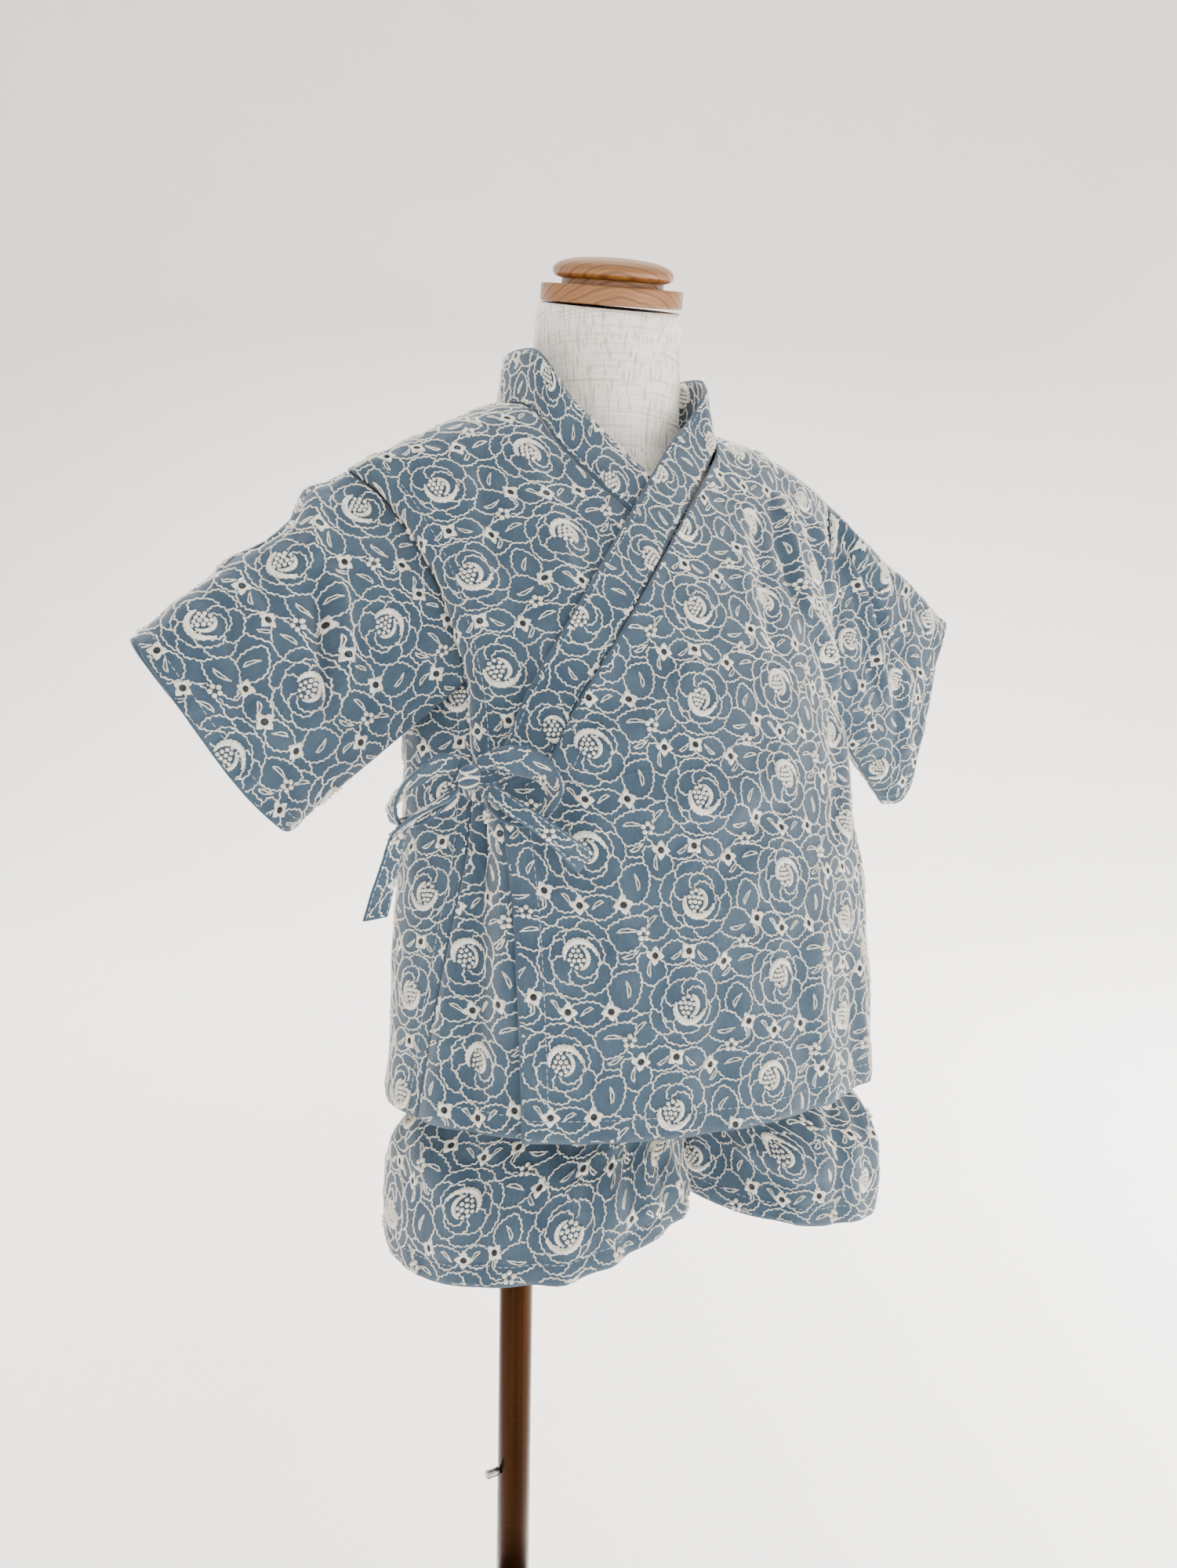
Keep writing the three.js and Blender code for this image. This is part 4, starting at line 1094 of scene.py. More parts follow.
def tiled(panel, repeat, grain, origin):
    """The repeat laid side by side over a panel's flat cut, turned by grain degrees, with a slow wave."""
    points, faces, kinds = repeat
    c, s = math.cos(math.radians(grain)), math.sin(math.radians(grain))
    a, b = panel.flat_a - origin[0], panel.flat_b - origin[1]
    p, q = c * a + s * b, -s * a + c * b
    m = np.arange(math.floor(p.min() / REPEAT[0]) - 1, math.ceil(p.max() / REPEAT[0]) + 1)
    n = np.arange(math.floor(q.min() / REPEAT[1]) - 1, math.ceil(q.max() / REPEAT[1]) + 1)
    shift = np.stack(np.meshgrid(m * REPEAT[0], n * REPEAT[1], indexing="ij"), -1).reshape(-1, 1, 2)
    flat = (points[None, :, :2] + shift).reshape(-1, 2)
    flat = flat + 0.8 * np.sin(flat[:, ::-1] / np.array([31.0, 23.0]))
    height = np.broadcast_to(points[None, :, 2], (len(shift), len(points))).ravel()
    all_faces = (faces[None] + (np.arange(len(shift)) * len(points))[:, None, None]).reshape(-1, 4)
    a = c * flat[:, 0] - s * flat[:, 1] + origin[0]
    b = s * flat[:, 0] + c * flat[:, 1] + origin[1]
    return a, b, height, all_faces, np.tile(kinds, len(shift))


def embroider(panel, repeat, materials, thick, face=1, grain=0.0, origin=(0, 0), margin=0.4, keep=None):
    """Lays the repeat on a panel and keeps the stitches that fall on it, margin in from its edges. face is -1
    for the side of the cloth that is turned in."""
    a, b, height, faces, kinds = tiled(panel, repeat, grain, origin)
    flat_a, flat_b = panel.flat_a, panel.flat_b
    near = (a > flat_a.min()) & (a < flat_a.max()) & (b > flat_b.min()) & (b < flat_b.max())
    chosen = np.flatnonzero(near)
    place, inside, u, v = panel.place(a[chosen], b[chosen], face * (height[chosen] + thick / 2))
    edge_u = margin / np.ptp(flat_a, axis=1).mean()
    edge_v = margin / np.ptp(flat_b, axis=0).mean()
    inside &= (u > edge_u) & (u < 1 - edge_u) & (v > edge_v) & (v < 1 - edge_v)
    if keep is not None:
        inside &= keep(place)
    on = np.zeros(len(a), bool)
    on[chosen[inside]] = True
    kept = on[faces].all(1)
    used, renamed = np.unique(faces[kept], return_inverse=True)
    everywhere = np.zeros((len(a), 3))
    everywhere[chosen] = place
    # the chart's stitches face up where a, b and the outward normal are right-handed
    final = renamed.reshape(-1, 4)
    if panel.flat_hand() * face < 0:
        final = final[:, ::-1]
    name = panel.name + ("_embroidery" if face > 0 else "_inner_embroidery")
    return new_mesh(name, everywhere[used], final, materials, kinds=kinds[kept])


STITCH = {"long": 2.3, "gap": 0.9, "wide": 0.5, "high": 0.3}


def topstitch(panel, lines, material, thick):
    """Single stitches end to end along lines of flat places."""
    chart = Chart()
    for line in lines:
        line = np.asarray(line, float)
        run = run_along(line, 0)
        for begin in np.arange(1.5, run[-1] - STITCH["long"], STITCH["long"] + STITCH["gap"]):
            at = np.linspace(begin, begin + STITCH["long"], 3)
            path = along_path(line, run, at)
            chart.line(path, wide=STITCH["wide"], high=STITCH["high"], swing=0, step=9)
    points, faces = np.vstack(chart.points), np.vstack(chart.faces)
    place, inside, _, _ = panel.place(points[:, 0], points[:, 1], points[:, 2] + thick / 2)
    faces = faces[inside[faces].all(1)]
    if panel.flat_hand() < 0:
        faces = faces[:, ::-1]
    return new_mesh(panel.name + "_topstitch", place, faces, [material])


def edge_line(panel, edge, inset, start=0.0, end=1.0):
    """Flat places along a panel's edge, moved in from it by inset."""
    a, b = panel.flat_a, panel.flat_b
    if edge in ("first", "last"):
        column, sign = (0, 1) if edge == "first" else (-1, -1)
        sign *= np.sign(a[:, 1] - a[:, 0])
        line = np.stack([a[:, column] + sign * inset, b[:, column]], -1)
    else:
        row, sign = (0, 1) if edge == "up" else (-1, -1)
        line = np.stack([a[row], b[row] + sign * np.sign(b[1, 0] - b[0, 0]) * inset], -1)
    low, high = int(start * len(line)), int(end * len(line))
    return line[low:high]


# ---- materials -----------------------------------------------------------------------------------
class Nodes:
    """A short hand for building one material's node tree."""

    def __init__(self, name, **sockets):
        self.material = bpy.data.materials.new(name)
        self.material.use_nodes = True
        self.tree = self.material.node_tree
        self.shader = self.tree.nodes["Principled BSDF"]
        for socket, value in sockets.items():
            self.shader.inputs[socket.replace("_", " ")].default_value = value

    def add(self, kind, settings=None, **inputs):
        """A node with its settings and inputs; an underscore in an input's name stands for a blank."""
        node = self.tree.nodes.new(kind)
        for key, value in (settings or {}).items():
            setattr(node, key, value)
        for key, value in inputs.items():
            self.put(node.inputs[key.replace("_", " ")], value)
        return node

    def put(self, socket, value):
        """Links the socket to another one, or sets its value."""
        if isinstance(value, bpy.types.NodeSocket):
            self.tree.links.new(value, socket)
        else:
            socket.default_value = value

    def coordinates(self, scale, kind="Object", turn=(0, 0, 0)):
        """Places on the piece, or in its cut for UV, turned and scaled."""
        place = self.add("ShaderNodeTexCoord").outputs[kind]
        return self.add("ShaderNodeMapping", Vector=place, Scale=scale, Rotation=turn).outputs["Vector"]

    def noise(self, scale, detail=2.0, vector=None):
        """Soft noise from 0 to 1."""
        vector = vector or self.coordinates((1, 1, 1))
        return self.add("ShaderNodeTexNoise", Vector=vector, Scale=scale, Detail=detail).outputs["Fac"]

    def wave(self, direction, vector, scale, distortion, **more):
        """Wavy bands across a direction."""
        inputs = {"Vector": vector, "Scale": scale, "Distortion": distortion, **more}
        return self.add("ShaderNodeTexWave", {"bands_direction": direction}, **inputs).outputs[0]

    def ramp(self, value, *stops):
        """Colours, or greys from single numbers, at stops along a value."""
        node = self.add("ShaderNodeValToRGB", Fac=value)
        elements = node.color_ramp.elements
        while len(elements) < len(stops):
            elements.new(0.5)
        for element, (place, colour) in zip(elements, stops):
            element.position = place
            element.color = (*colour, 1) if hasattr(colour, "__len__") else (colour, colour, colour, 1)
        return node.outputs["Color"]

    def blend(self, amount, a, b, how="MIX"):
        """Two colours mixed by an amount."""
        node = self.add("ShaderNodeMix", {"data_type": "RGBA", "blend_type": how})
        for socket, value in zip((node.inputs[0], node.inputs[6], node.inputs[7]), (amount, a, b)):
            self.put(socket, (*value, 1) if isinstance(value, tuple) else value)
        return node.outputs[2]

    def bump(self, height, distance, strength=1.0, after=None):
        """Relief of a height over a distance in metres, on top of another one where after gives it."""
        node = self.add("ShaderNodeBump", Height=height, Distance=distance, Strength=strength)
        if after:
            self.put(node.inputs["Normal"], after)
        return node.outputs["Normal"]

    def finish(self, colour=None, normal=None, roughness=None):
        """The material, with its shader fed."""
        for key, value in (("Base Color", colour), ("Normal", normal), ("Roughness", roughness)):
            if value is not None:
                self.put(self.shader.inputs[key], value)
        return self.material


def cotton():
    """Slate blue cotton: a fine woven grain on the cut's own places, soft mottling and small crumples."""
    n = Nodes("slate_cotton", Roughness=0.88, Sheen_Weight=0.25, Sheen_Roughness=0.5, Specular_IOR_Level=0.25)
    mottled = n.ramp(n.noise(55, 3), (0.3, (0.040, 0.073, 0.113)), (0.7, (0.061, 0.100, 0.144)))
    weave = n.coordinates((2600, 2600, 1), "UV")
    grain = n.blend(0.5, n.wave("X", weave, 0.5, 1.2), n.wave("Y", weave, 0.5, 1.2))
    slub = n.noise(900, 2, n.coordinates((1, 0.15, 1), "UV"))
    colour = n.blend(0.16, mottled, n.ramp(slub, (0.3, 0.1), (0.7, 0.75)), "OVERLAY")
    crumple = n.bump(n.noise(170, 3), 0.0011, 0.55)
    return n.finish(colour, n.bump(grain, 0.00012, 0.5, crumple))


def thread():
    """Cream embroidery cotton with a fine twist."""
    n = Nodes("cream_thread", Roughness=0.7, Sheen_Weight=0.2, Specular_IOR_Level=0.3)
    colour = n.ramp(n.noise(420, 2), (0.25, (0.62, 0.58, 0.49)), (0.6, (0.86, 0.83, 0.75)))
    twist = n.noise(1600, 1, n.coordinates((1, 1, 1.8)))
    return n.finish(colour, n.bump(twist, 0.0003, 0.7))


def eyelet():
    """Painted shade for an eyelet's hole: a near-black sheet where the hole is in shadow."""
    n = Nodes("eyelet_hole_shade", Roughness=0.95)
    return n.finish(n.ramp(n.noise(500, 1), (0.3, (0.012, 0.014, 0.016)), (0.8, (0.05, 0.055, 0.06))))


def seam_thread():
    """Pale blue sewing thread for the topstitching."""
    n = Nodes("seam_thread", Roughness=0.7)
    return n.finish(n.ramp(n.noise(300, 1), (0.3, (0.36, 0.45, 0.53)), (0.7, (0.5, 0.58, 0.64))))


def linen():
    """Natural linen: pale ground, warp and weft slubs in grey-brown, plain weave."""
    n = Nodes("natural_linen", Roughness=0.92, Sheen_Weight=0.15, Specular_IOR_Level=0.2)
    base = n.ramp(n.noise(45, 3), (0.3, (0.90, 0.845, 0.765)), (0.7, (0.95, 0.905, 0.835)))
    upright = n.ramp(n.noise(1, 3, n.coordinates((700, 700, 28))), (0.5, 0.0), (0.72, 1.0))
    level = n.ramp(n.noise(1, 3, n.coordinates((28, 28, 900))), (0.52, 0.0), (0.75, 1.0))
    colour = n.blend(upright, base, (0.42, 0.375, 0.32))
    colour = n.blend(level, colour, (0.50, 0.46, 0.40))
    warp = n.noise(1, 2, n.coordinates((1400, 1400, 60)))
    weft = n.noise(1, 2, n.coordinates((60, 60, 1700)))
    return n.finish(colour, n.bump(n.blend(0.5, warp, weft), 0.0006, 0.6))


def beech():
    """Lacquered beech: level grain with growth rings and fine dark pores."""
    n = Nodes("beech", Roughness=0.36, Coat_Weight=0.18, Coat_Roughness=0.2)
    lean = (math.radians(CAP["forward"]), math.radians(-CAP["aside"]), 0.5)
    rings = n.wave("Z", n.coordinates((1, 1, 1), turn=lean), 75, 3.5, Detail=2, Detail_Scale=0.6)
    early, late, edge = (0.23, 0.092, 0.021), (0.30, 0.128, 0.032), (0.15, 0.054, 0.011)
    colour = n.ramp(rings, (0.0, early), (0.6, late), (1.0, edge))
    pores = n.ramp(n.noise(1, 2, n.coordinates((120, 120, 2400), turn=lean)), (0.58, 0.0), (0.7, 1.0))
    colour = n.blend(pores, colour, (0.17, 0.062, 0.019))
    return n.finish(colour, n.bump(pores, -0.00008, 0.4), n.ramp(rings, (0, 0.3), (1, 0.42)))


def bronze(name="bronze_lacquer", rough=0.22):
    """Dark bronze lacquer with painted reflection: faint lengthways stripes of lighter and darker colour
    round the pole, standing in for what it reflects.
    """
    n = Nodes(name, Metallic=0.9, Specular_IOR_Level=0.2)
    # painted reflection: the colour goes lighter and darker round the pole in lengthways stripes
    painted_reflection_streaks = n.noise(1, 2, n.coordinates((300, 300, 4)))
    colour = n.ramp(painted_reflection_streaks, (0.3, (0.016, 0.0055, 0.0012)), (0.7, (0.034, 0.013, 0.0035)))
    wear = n.ramp(n.noise(60, 3), (0.35, rough - 0.03), (0.7, rough + 0.1))
    return n.finish(colour, n.bump(n.noise(1, 1, n.coordinates((900, 900, 15))), 0.00003, 0.4), wear)


def steel():
    """Bare brushed steel."""
    n = Nodes("steel", Metallic=1.0)
    return n.finish(
        n.ramp(n.noise(500, 2), (0.3, (0.42, 0.40, 0.37)), (0.7, (0.55, 0.53, 0.5))),
        n.bump(n.noise(1, 1, n.coordinates((100, 900, 900))), 0.00002, 0.5),
        n.ramp(n.noise(90, 1), (0, 0.28), (1, 0.4)),
    )


def paper(name, colour):
    """Matt backdrop paper, with the faintest mottling."""
    n = Nodes(name, Roughness=0.9, Specular_IOR_Level=0.1)
    return n.finish(n.ramp(n.noise(6, 2), (0.3, tuple(c * 0.985 for c in colour)), (0.7, colour)))


# ---- dress form, cap, pole -----------------------------------------------------------------------
def leaned(points, forward, aside, shift):
    """Rings about the vertical, leaned forward about X and aside about Y, then moved into place."""
    f, a = np.radians(forward), -np.radians(aside)
    x, y, z = points[..., 0], points[..., 1], points[..., 2]
    y, z = y * np.cos(f) - z * np.sin(f), y * np.sin(f) + z * np.cos(f)
    x, z = x * np.cos(a) + z * np.sin(a), -x * np.sin(a) + z * np.cos(a)
    return stack(x, y, z) + shift


SHRINK = (0.02, 0.5, 0.97)


def closed_loft(name, rings, material):
    """A closed smooth skin through rings, bottom to top; each end shrinks to a tiny ring with one face."""
    first, last = rings[:1], rings[-1:]
    centre = lambda ring: ring.mean(axis=1, keepdims=True)
    caps = [mix(centre(first), first, k) for k in SHRINK]
    lids = [mix(centre(last), last, k) for k in SHRINK[::-1]]
    rings = np.vstack([*caps, rings, *lids])
    rows, columns = rings.shape[:2]
    piece = new_mesh(name, rings.reshape(-1, 3), grid_faces(rows, columns, ring=True), [material])
    solid = bmesh.new()
    solid.from_mesh(piece.data)
    solid.verts.ensure_lookup_table()
    for end in (0, (rows - 1) * columns):
        ring = [solid.verts[end + i] for i in range(columns)]
        face = solid.faces.new(ring[::-1] if end == 0 else ring)
        face.smooth = True
    solid.to_mesh(piece.data)
    solid.free()
    return piece


def form_rings(z, sides=128):
    """The form's rings: bent ellipses of their own power, leaned with the neck."""
    row = {c: read(FORM_ROWS, "z", z, c)[:, None] for c in FORM_ROWS}
    angle = np.arange(sides) * 2 * np.pi / sides
    bent = lambda q: np.sign(q) * np.abs(q) ** (2 / row["power"])
    depth = (row["back"] - row["front"]) / 2
    flat = stack(row["half"] * bent(np.cos(angle)), depth * bent(np.sin(angle)), 0 * angle)
    shift = stack(row["x"], (row["front"] + row["back"]) / 2, NECK_POINT + z[:, None])
    return leaned(flat, row["forward"], row["aside"], shift)


def turned_piece(name, profile, material, x, y, z, forward=0.0, aside=0.0, sides=96, fine=6):
    """A turned piece: the profile with its corners kept, cut into short steps."""
    at = np.linspace(0, len(profile["radius"]) - 1, (len(profile["radius"]) - 1) * fine + 1)
    keyed = dict(profile, at=np.arange(len(profile["radius"]), dtype=float))
    radius, height = read(keyed, "at", at, "radius")[:, None], read(keyed, "at", at, "height")[:, None]
    angle = np.arange(sides) * 2 * np.pi / sides
    flat = stack(radius * np.cos(angle), radius * np.sin(angle), height + 0 * angle)
    return closed_loft(name, leaned(flat, forward, aside, np.array([x, y, z])), material)


def rod(name, start, end, radius, material, chamfer=0.5):
    """A round bar between two points, with a small chamfer at each end."""
    start, end = np.array(start, float), np.array(end, float)
    along = unit(end - start)
    length = np.linalg.norm(end - start)
    side = unit(np.cross(along, [0.3, 1.0, 0.2]))
    other = np.cross(along, side)
    angle = np.arange(64) * 2 * np.pi / 64
    ring = side * np.cos(angle)[:, None] + other * np.sin(angle)[:, None]
    steps = [(0, radius - chamfer), (chamfer, radius), (length - chamfer, radius), (length, radius - chamfer)]
    rings = np.stack([start + along * t + ring * r for t, r in steps])
    return closed_loft(name, rings, material)


# ---- creases -------------------------------------------------------------------------------------
# Placed one by one: x0 z0 x1 z1 in the front view, then width, height (below 0 a trough) and bow.
# CREASE_DEPTH multiplies every height.
CREASE_DEPTH = 1.9
OVER_CREASES = [
    (82, -28, 77, -96, 5.0, 3.1, 3),
    (77, -96, 104, -136, 5.0, 3.0, -3),
    (112, -36, 126, -84, 5.0, 2.6, 2),
    (60, -40, 40, -120, 8.0, -1.9, 4),
    (96, -150, 70, -215, 7.0, 2.2, -4),
    (112, -180, 96, -262, 6.0, -2.0, 3),
    (40, -250, 52, -340, 9.0, 1.9, 4),
    (-20, -262, -28, -345, 9.0, -1.2, -2),
    (84, -270, 92, -346, 6.0, 2.1, 2),
    (-60, -190, 30, -176, 8.0, 1.1, 5),
    (-80, -190, -62, -262, 6.0, 1.9, -3),
    (-10, -120, -78, -168, 7.0, 1.2, -4),
    (20, -190, -30, -232, 8.0, -1.0, 3),
    (116, -290, 110, -345, 6.0, -1.4, 0),
]
UNDER_CREASES = [
    (-96, -18, -92, -100, 6.0, -1.6, 3),
    (-76, -24, -70, -92, 7.0, 1.3, -3),
    (-108, -60, -96, -150, 5.0, 1.5, 4),
    (-84, -110, -100, -165, 6.0, -1.4, 2),
    (-113, -186, -122, -330, 5.5, -4.2, 2),
    (-106, -190, -110, -300, 5.0, 2.5, -2),
    (-124, -200, -132, -300, 5.0, 2.3, 1),
    (-60, -60, -84, -120, 6.0, 1.1, 3),
]
BACK_CREASES = [
    (-70, -20, -50, -110, 8.0, 1.8, 4),
    (-30, -30, -36, -150, 10.0, -1.5, -4),
    (30, -24, 44, -120, 8.0, 1.7, 3),
    (76, -30, 70, -130, 7.0, -1.6, -3),
    (-100, -120, -80, -230, 8.0, 1.9, 4),
    (-50, -180, -64, -330, 9.0, -1.6, 3),
    (4, -150, 10, -300, 11.0, 1.5, -5),
    (60, -190, 74, -335, 8.0, 1.8, 3),
    (100, -140, 92, -280, 8.0, -1.6, -3),
    (-96, -250, -100, -340, 7.0, 1.5, 1),
    (30, -250, 36, -345, 7.0, -1.3, 2),
]
RIGHT_SLEEVE_CREASES = [
    (-160, -30, -176, -80, 4.5, 2.4, 2),
    (-168, -84, -166, -140, 4.5, 3.2, -1),
    (-176, -96, -173, -150, 4.5, -2.2, 1),
    (-166, -22, -214, -62, 5.0, 1.7, -3),
    (-164, -30, -204, -96, 5.0, -1.5, 3),
    (-190, -60, -240, -104, 6.0, 1.2, 3),
    (-204, -100, -196, -166, 6.0, 2.0, 2),
    (-222, -96, -206, -150, 7.0, -1.3, -2),
]
LEFT_SLEEVE_CREASES = [
    (150, -26, 190, -70, 4.5, 2.2, 2),
    (156, -44, 184, -110, 4.5, -2.2, -2),
    (160, -70, 184, -140, 4.5, 2.0, 2),
    (176, -90, 214, -120, 5.0, -1.6, 2),
    (196, -60, 232, -84, 5.0, 1.2, -2),
    (200, -120, 206, -176, 5.0, 1.4, 1),
]
SHORTS_CREASES = [
    (4, -330, 8, -400, 5.0, -3.0, 1),
    (22, -330, 30, -392, 5.0, -2.6, 1),
    (-22, -352, -14, -408, 5.0, 1.8, 2),
    (-46, -350, -54, -424, 7.0, -1.6, 2),
    (-84, -352, -90, -420, 7.0, 2.5, -2),
    (-112, -350, -118, -410, 6.0, -1.8, 1),
    (52, -350, 60, -418, 6.0, 1.8, 2),
    (84, -352, 80, -420, 7.0, -1.6, 2),
    (110, -350, 116, -416, 6.0, 1.8, -1),
    (34, -372, 70, -386, 5.0, 1.2, 2),
    (-128, -300, -124, -380, 6.0, 1.6, 1),
]


# ---- putting it together -------------------------------------------------------------------------
def stand_in(node):
    """The piece takes the place of its solid's node, which is hidden."""
    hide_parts(node)


def dress(panel, thick, repeat, finish, lines, rounded=False, faces=(1,), **laid):
    """The cloth, embroidery and topstitching of one sewn piece, in place of its node. laid says how the
    embroidery lies on the cut."""
    cloth = cloth_piece(panel, thick, finish["cotton"], rounded)
    # cream thread, then the painted shade that fills the eyelet holes
    thread_and_shade = [finish["thread"], finish["eyelet"]]
    stitched = [embroider(panel, repeat, thread_and_shade, thick, face, **laid) for face in faces]
    stitched.append(topstitch(panel, lines, finish["seam"], thick))
    stand_in(panel.name)
    flat = (np.ptp(panel.flat_a) * MM, np.ptp(panel.flat_b) * MM)
    area = panel_area(panel, flat)


def panel_area(panel, flat):
    """The cut's area, from the solid's own surface, in square metres: half the cross product of each cell's
    diagonals."""
    p = panel.base * MM
    a, b = p[:-1, 1:] - p[1:, :-1], p[:-1, :-1] - p[1:, 1:]
    area = np.linalg.norm(np.cross(a, b), axis=-1).sum() / 2
    return float(np.clip(area, 0.301 * flat[0] * flat[1], flat[0] * flat[1]))


def not_covered(place):
    """Where the left front doesn't lie over the right front."""
    z = place[:, 2] - NECK_POINT
    return place[:, 0] < np.where(z > COLLAR_END, seam_x(z, "over") - 4, FRONT_EDGE_X + 30)


def make_top(repeat, finish):
    """The two fronts, the back and the sleeves."""
    hem = HEM["top"]
    free = ("down", "last")
    over = Panel(
        "front_left", over_front, 92, 134, OVER_CREASES, free=free, hem=hem, flat=body_flat(), roll=1.6
    )
    under = Panel("front_right", under_front, 94, 130, UNDER_CREASES, hem=hem, flat=body_flat())
    back = Panel("back", back_panel, 106, 118, BACK_CREASES, hem=hem, flat=body_flat(back=True))
    over_lines = [edge_line(over, "down", hem), edge_line(over, "first", 16, 0, 0.68)]
    over_lines.append(edge_line(over, "last", 12, 0.64, 1))
    under_lines = [edge_line(under, "down", hem), edge_line(under, "first", 16, 0, 0.66)]
    back_lines = [edge_line(back, "down", hem), edge_line(back, "first", 8), edge_line(back, "last", 8)]
    dress(over, CLOTH, repeat, finish, over_lines, grain=-9, origin=(-47, 13))
    dress(under, CLOTH, repeat, finish, under_lines, grain=8, origin=(-82, 24), keep=not_covered)
    dress(back, CLOTH, repeat, finish, back_lines, origin=(20, 10))
    for side, name in ((-1, "sleeve_right"), (1, "sleeve_left")):
        creases = RIGHT_SLEEVE_CREASES if side < 0 else LEFT_SLEEVE_CREASES
        tube = Panel(name, sleeve(side), 176, 50, creases, hem=HEM["sleeve"], flat=sleeve_flat(side))
        dress(tube, CLOTH, repeat, finish, [edge_line(tube, "down", HEM["sleeve"])], origin=(20, 26))


def make_shorts(repeat, finish):
    """The two leg pieces of the shorts."""
    for side, name in ((-1, "shorts_right"), (1, "shorts_left")):
        tube = Panel(name, leg(side), 136, 62, SHORTS_CREASES, hem=HEM["shorts"], flat=leg_flat)
        dress(tube, CLOTH, repeat, finish, [edge_line(tube, "down", HEM["shorts"])], origin=(8, 22))


def make_bands(repeat, finish):
    """The collar, the waistband's casing and the parts of the two ties, each with its edges rounded off."""
    band = Panel("collar", collar_point, 330, 12, pucker=0.22, flat=strip_flat, free=EVERY_EDGE)
    lines = [edge_line(band, "up", 2.5), edge_line(band, "down", 3.0)]
    dress(band, BAND, repeat, finish, lines, rounded=True, faces=(1, -1), origin=(18, 6), margin=0.8)
    casing = Panel("waistband", waistband_point, 160, 14, pucker=0.25, flat=strip_flat, free=EVERY_EDGE)
    waist = cloth_piece(casing, BAND, finish["cotton"], True)
    stand_in("waistband")
    for name, rows in TIES.items():
        surface, ahead = tie_strip(rows), "loop" not in name
        strip = Panel(name, surface, 60, 10, pucker=0.2, ahead=ahead, flat=strip_flat, free=EVERY_EDGE)
        lines = [edge_line(strip, "up", 1.2), edge_line(strip, "down", 1.2)]
        dress(strip, TIE, repeat, finish, lines, rounded=True, faces=(1, -1), origin=(7, 20), margin=0.3)


def make_knot(finish):
    """The knot: a round wrap of the strip with soft pleats running over it."""
    lift = np.linspace(-1, 1, 28)[:, None]
    angle = np.arange(72) * 2 * np.pi / 72
    swell = np.maximum(0.35, np.sqrt(np.maximum(0, 1 - lift**4)))
    pleat = 1 + 0.05 * np.cos(3 * angle + lift * 2) + 0.035 * np.sin(11 * lift + 2 * np.sin(angle))
    x = KNOT["x"] + KNOT["wide"] / 2 * swell * pleat * np.cos(angle)
    y = KNOT["y"] + KNOT["deep"] / 2 * swell * pleat * np.sin(angle)
    rings = stack(x, y, NECK_POINT + KNOT["z"] + KNOT["high"] / 2 * lift)
    knot = closed_loft("bow_knot_cloth", rings, finish["cotton"])
    stand_in("bow_knot")
    chart = Chart()
    t = np.linspace(0, 1, 18)
    for tilt in (-0.75, -0.2, 0.35, 0.8):
        path = np.stack([t * 2 * np.pi * 0.62 + 2.6, tilt * 0.75 + 0.22 * np.sin(5 * t + tilt * 4)], -1)
        chart.line(path, wide=0.22, high=0.4, swing=0.03, step=0.12)
    points, faces = np.vstack(chart.points), np.vstack(chart.faces)
    turn, level = points[:, 0], np.clip(points[:, 1], -0.95, 0.95)
    reach = np.maximum(0.35, np.sqrt(np.maximum(0, 1 - level**4))) * (1 + 0.05 * np.cos(3 * turn + level * 2))
    out = reach * KNOT["wide"] / 2 + points[:, 2] + 0.1
    x = KNOT["x"] + out * np.cos(turn)
    y = KNOT["y"] + out * np.sin(turn) * KNOT["deep"] / KNOT["wide"]
    place = stack(x, y, NECK_POINT + KNOT["z"] + KNOT["high"] / 2 * level)
    lines = new_mesh("bow_knot_embroidery", place, faces, [finish["thread"]])


def make_stand():
    """The linen form and its neck seam, the turned cap, the pole and its pin, and the base plate."""
    cloth, wood, metal = linen(), beech(), bronze()
    z = np.unique(np.r_[np.linspace(-330, 71, 150), np.linspace(-30, 71, 60)])
    form = closed_loft("dress_form_linen", form_rings(z), cloth)
    stand_in("dress_form")
    seam = form_rings(np.array([12.0]))[0]
    out = unit(seam - seam.mean(axis=0))
    bead = [
        seam + out * 0.45 * math.cos(t) + np.array([0, 0, 0.55 * math.sin(t)])
        for t in np.arange(6) * math.pi / 3
    ]
    tube = np.stack(bead, 1).reshape(-1, 3)
    j, i = np.meshgrid(np.arange(len(seam)), np.arange(6), indexing="ij")
    k = lambda p, q: ((j + p) % len(seam)) * 6 + (i + q) % 6
    faces = np.stack([k(0, 0), k(1, 0), k(1, 1), k(0, 1)], -1).reshape(-1, 4)
    neck_seam = new_mesh("neck_seam", tube, faces, [cloth])
    place = (CAP["x"], CAP["y"], NECK_POINT + CAP["z"])
    lean = (CAP["forward"], CAP["aside"])
    cap = turned_piece("neck_cap_beech", CAP_PROFILE, wood, *place, *lean, sides=128, fine=5)
    stand_in("neck_cap")
    x, y = POLE["x"], POLE["y"]
    pole = rod("pole_tube", (x, y, POLE["foot"]), (x, y, POLE["top"]), POLE["radius"], metal)
    stand_in("pole")
    near = x - POLE["radius"] - 2 * SEAM
    pin = rod("pin_steel", (near, y, POLE["pin"]), (near - 8, y, POLE["pin"]), 2.2, steel(), 0.6)
    stand_in("pin")
    plate = table("radius height", (121, 0), (122, 1), (122, 4.5), (120.5, 6), (60, 6), (20, 6))
    base = turned_piece("base_plate_steel", plate, bronze("base_lacquer", 0.3), x, y, 0.0, sides=160, fine=3)
    stand_in("base_plate")


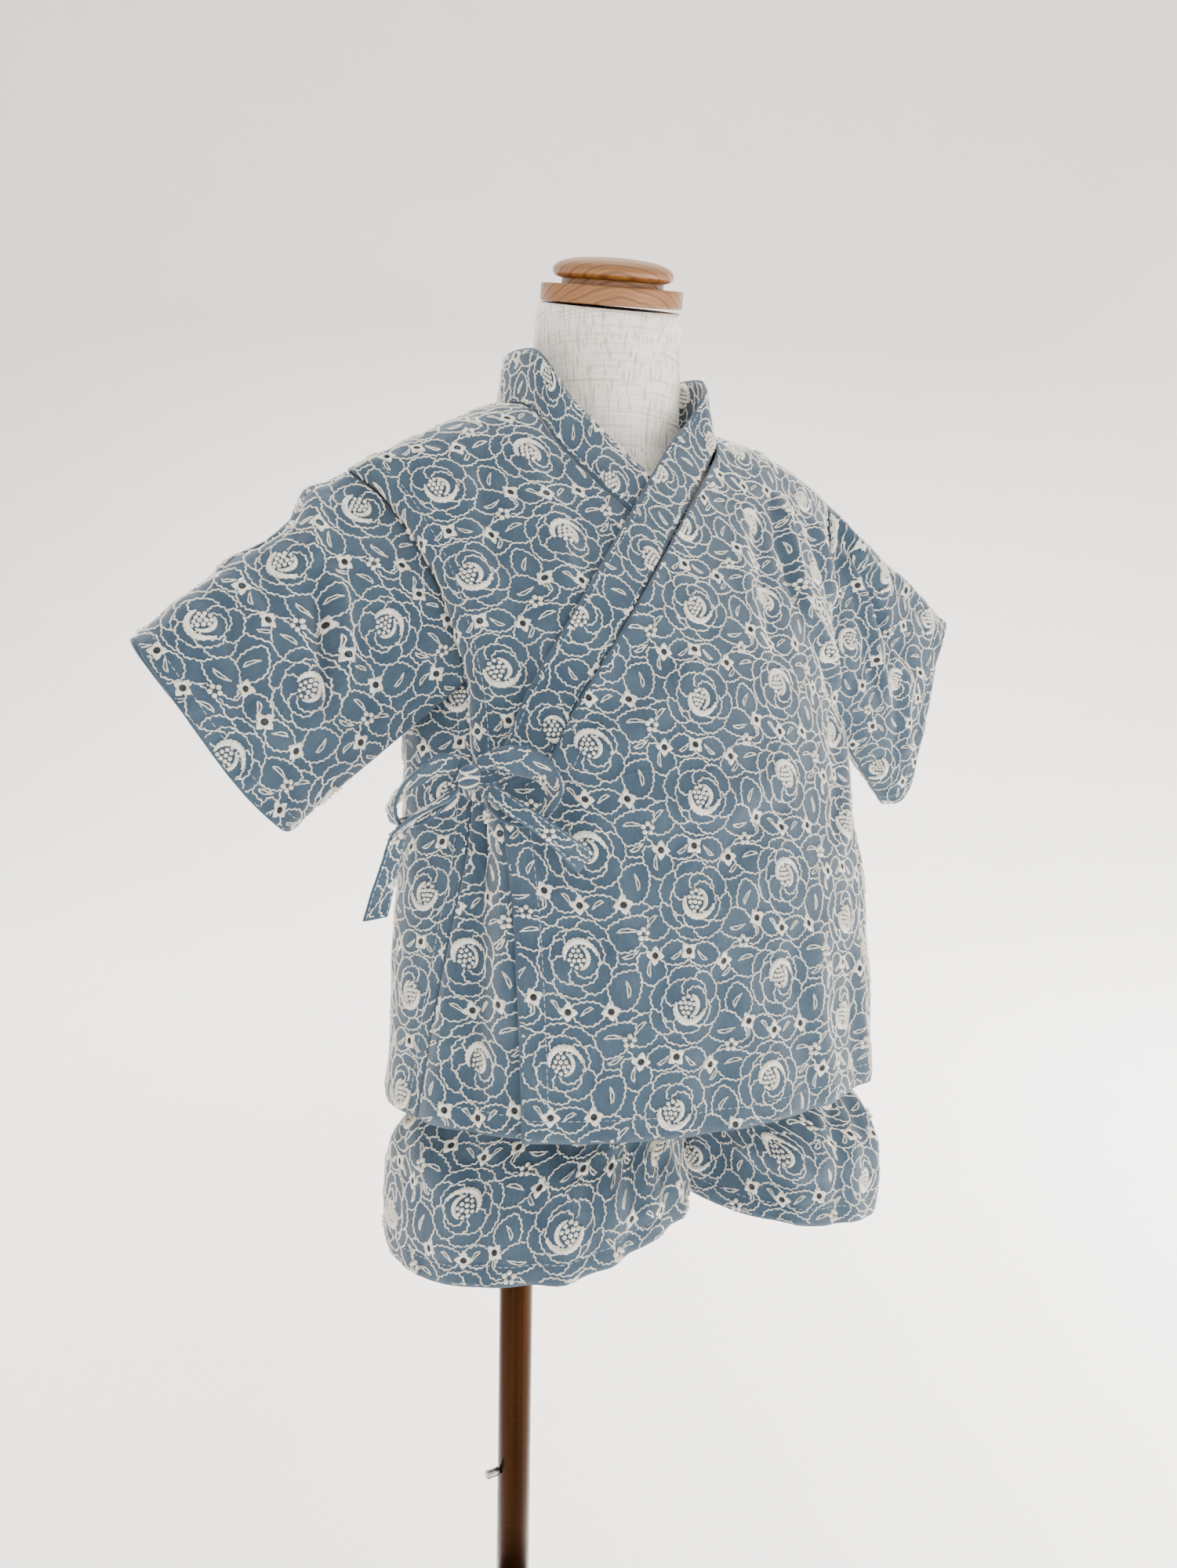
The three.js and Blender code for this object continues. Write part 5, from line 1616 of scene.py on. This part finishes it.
def make_studio():
    """A pale floor, a pale sky and soft lamps."""
    # The paper lies flat to 2 m behind the stand, then sweeps up in a quarter turn of 2.5 m radius.
    near, flat_to, sweep, high, wide = -12.0, 2.0, 2.5, 12.0, 24.0
    turn = np.linspace(0, np.pi / 2, 40)
    depth = np.r_[near, flat_to + sweep * np.sin(turn), flat_to + sweep]
    level = np.r_[0.0, sweep * (1 - np.cos(turn)), high]
    azimuth = math.radians(CAMERA["azimuth"])
    ahead = np.array([math.sin(azimuth), math.cos(azimuth), 0])
    right = np.array([math.cos(azimuth), -math.sin(azimuth), 0])
    rows = depth[:, None] * ahead + level[:, None] * np.array([0, 0, 1])
    points = np.stack([rows - wide * right, rows + wide * right], 1).reshape(-1, 3)
    floor = bpy.data.meshes.new("floor")
    floor.from_pydata(points.tolist(), [], grid_faces(len(rows), 2).tolist())
    floor.shade_smooth()
    floor.materials.append(paper("floor_paper", (0.96, 0.935, 0.91)))
    ground = bpy.data.objects.new("floor", floor)
    bpy.context.scene.collection.objects.link(ground)
    world = bpy.data.worlds.new("studio")
    world.use_nodes = True
    world.node_tree.nodes["Background"].inputs["Color"].default_value = (1.0, 0.98, 0.955, 1)
    world.node_tree.nodes["Background"].inputs["Strength"].default_value = 1.4
    bpy.context.scene.world = world
    middle = (0, -0.03, 0.58)
    behind = tuple(ahead * 2.2 + np.array([0, 0, 4.4]))
    for name, place, size, power, tint, at in (
        ("key", (1.25, -0.75, 1.9), 0.65, 310, (1.0, 0.98, 0.95), middle),
        ("fill", (-1.8, -1.2, 1.0), 1.8, 10, (0.95, 0.98, 1.0), middle),
        ("rim", (0.8, 1.6, 1.9), 1.4, 12, (1.0, 0.98, 0.96), middle),
        ("backdrop", behind, 3.0, 620, (1.0, 0.98, 0.96), tuple(ahead * 5.5 + np.array([0, 0, 1.0]))),
    ):
        lamp = bpy.data.lights.new(name, "AREA")
        lamp.size, lamp.energy, lamp.color = size, power, tint
        holder = bpy.data.objects.new(name, lamp)
        holder.location = place
        holder.visible_glossy = name != "backdrop"
        aim = np.array(at) - np.array(place)
        holder.rotation_euler = (
            math.acos(aim[2] / np.linalg.norm(aim)) - math.pi,
            0,
            math.atan2(aim[0], -aim[1]) + math.pi,
        )
        bpy.context.scene.collection.objects.link(holder)


make_camera()
REPEAT_CHART = draw_repeat()
FINISH = {"cotton": cotton(), "thread": thread(), "eyelet": eyelet(), "seam": seam_thread()}
make_top(REPEAT_CHART, FINISH)
make_shorts(REPEAT_CHART, FINISH)
make_bands(REPEAT_CHART, FINISH)
make_knot(FINISH)
make_stand()
make_studio()
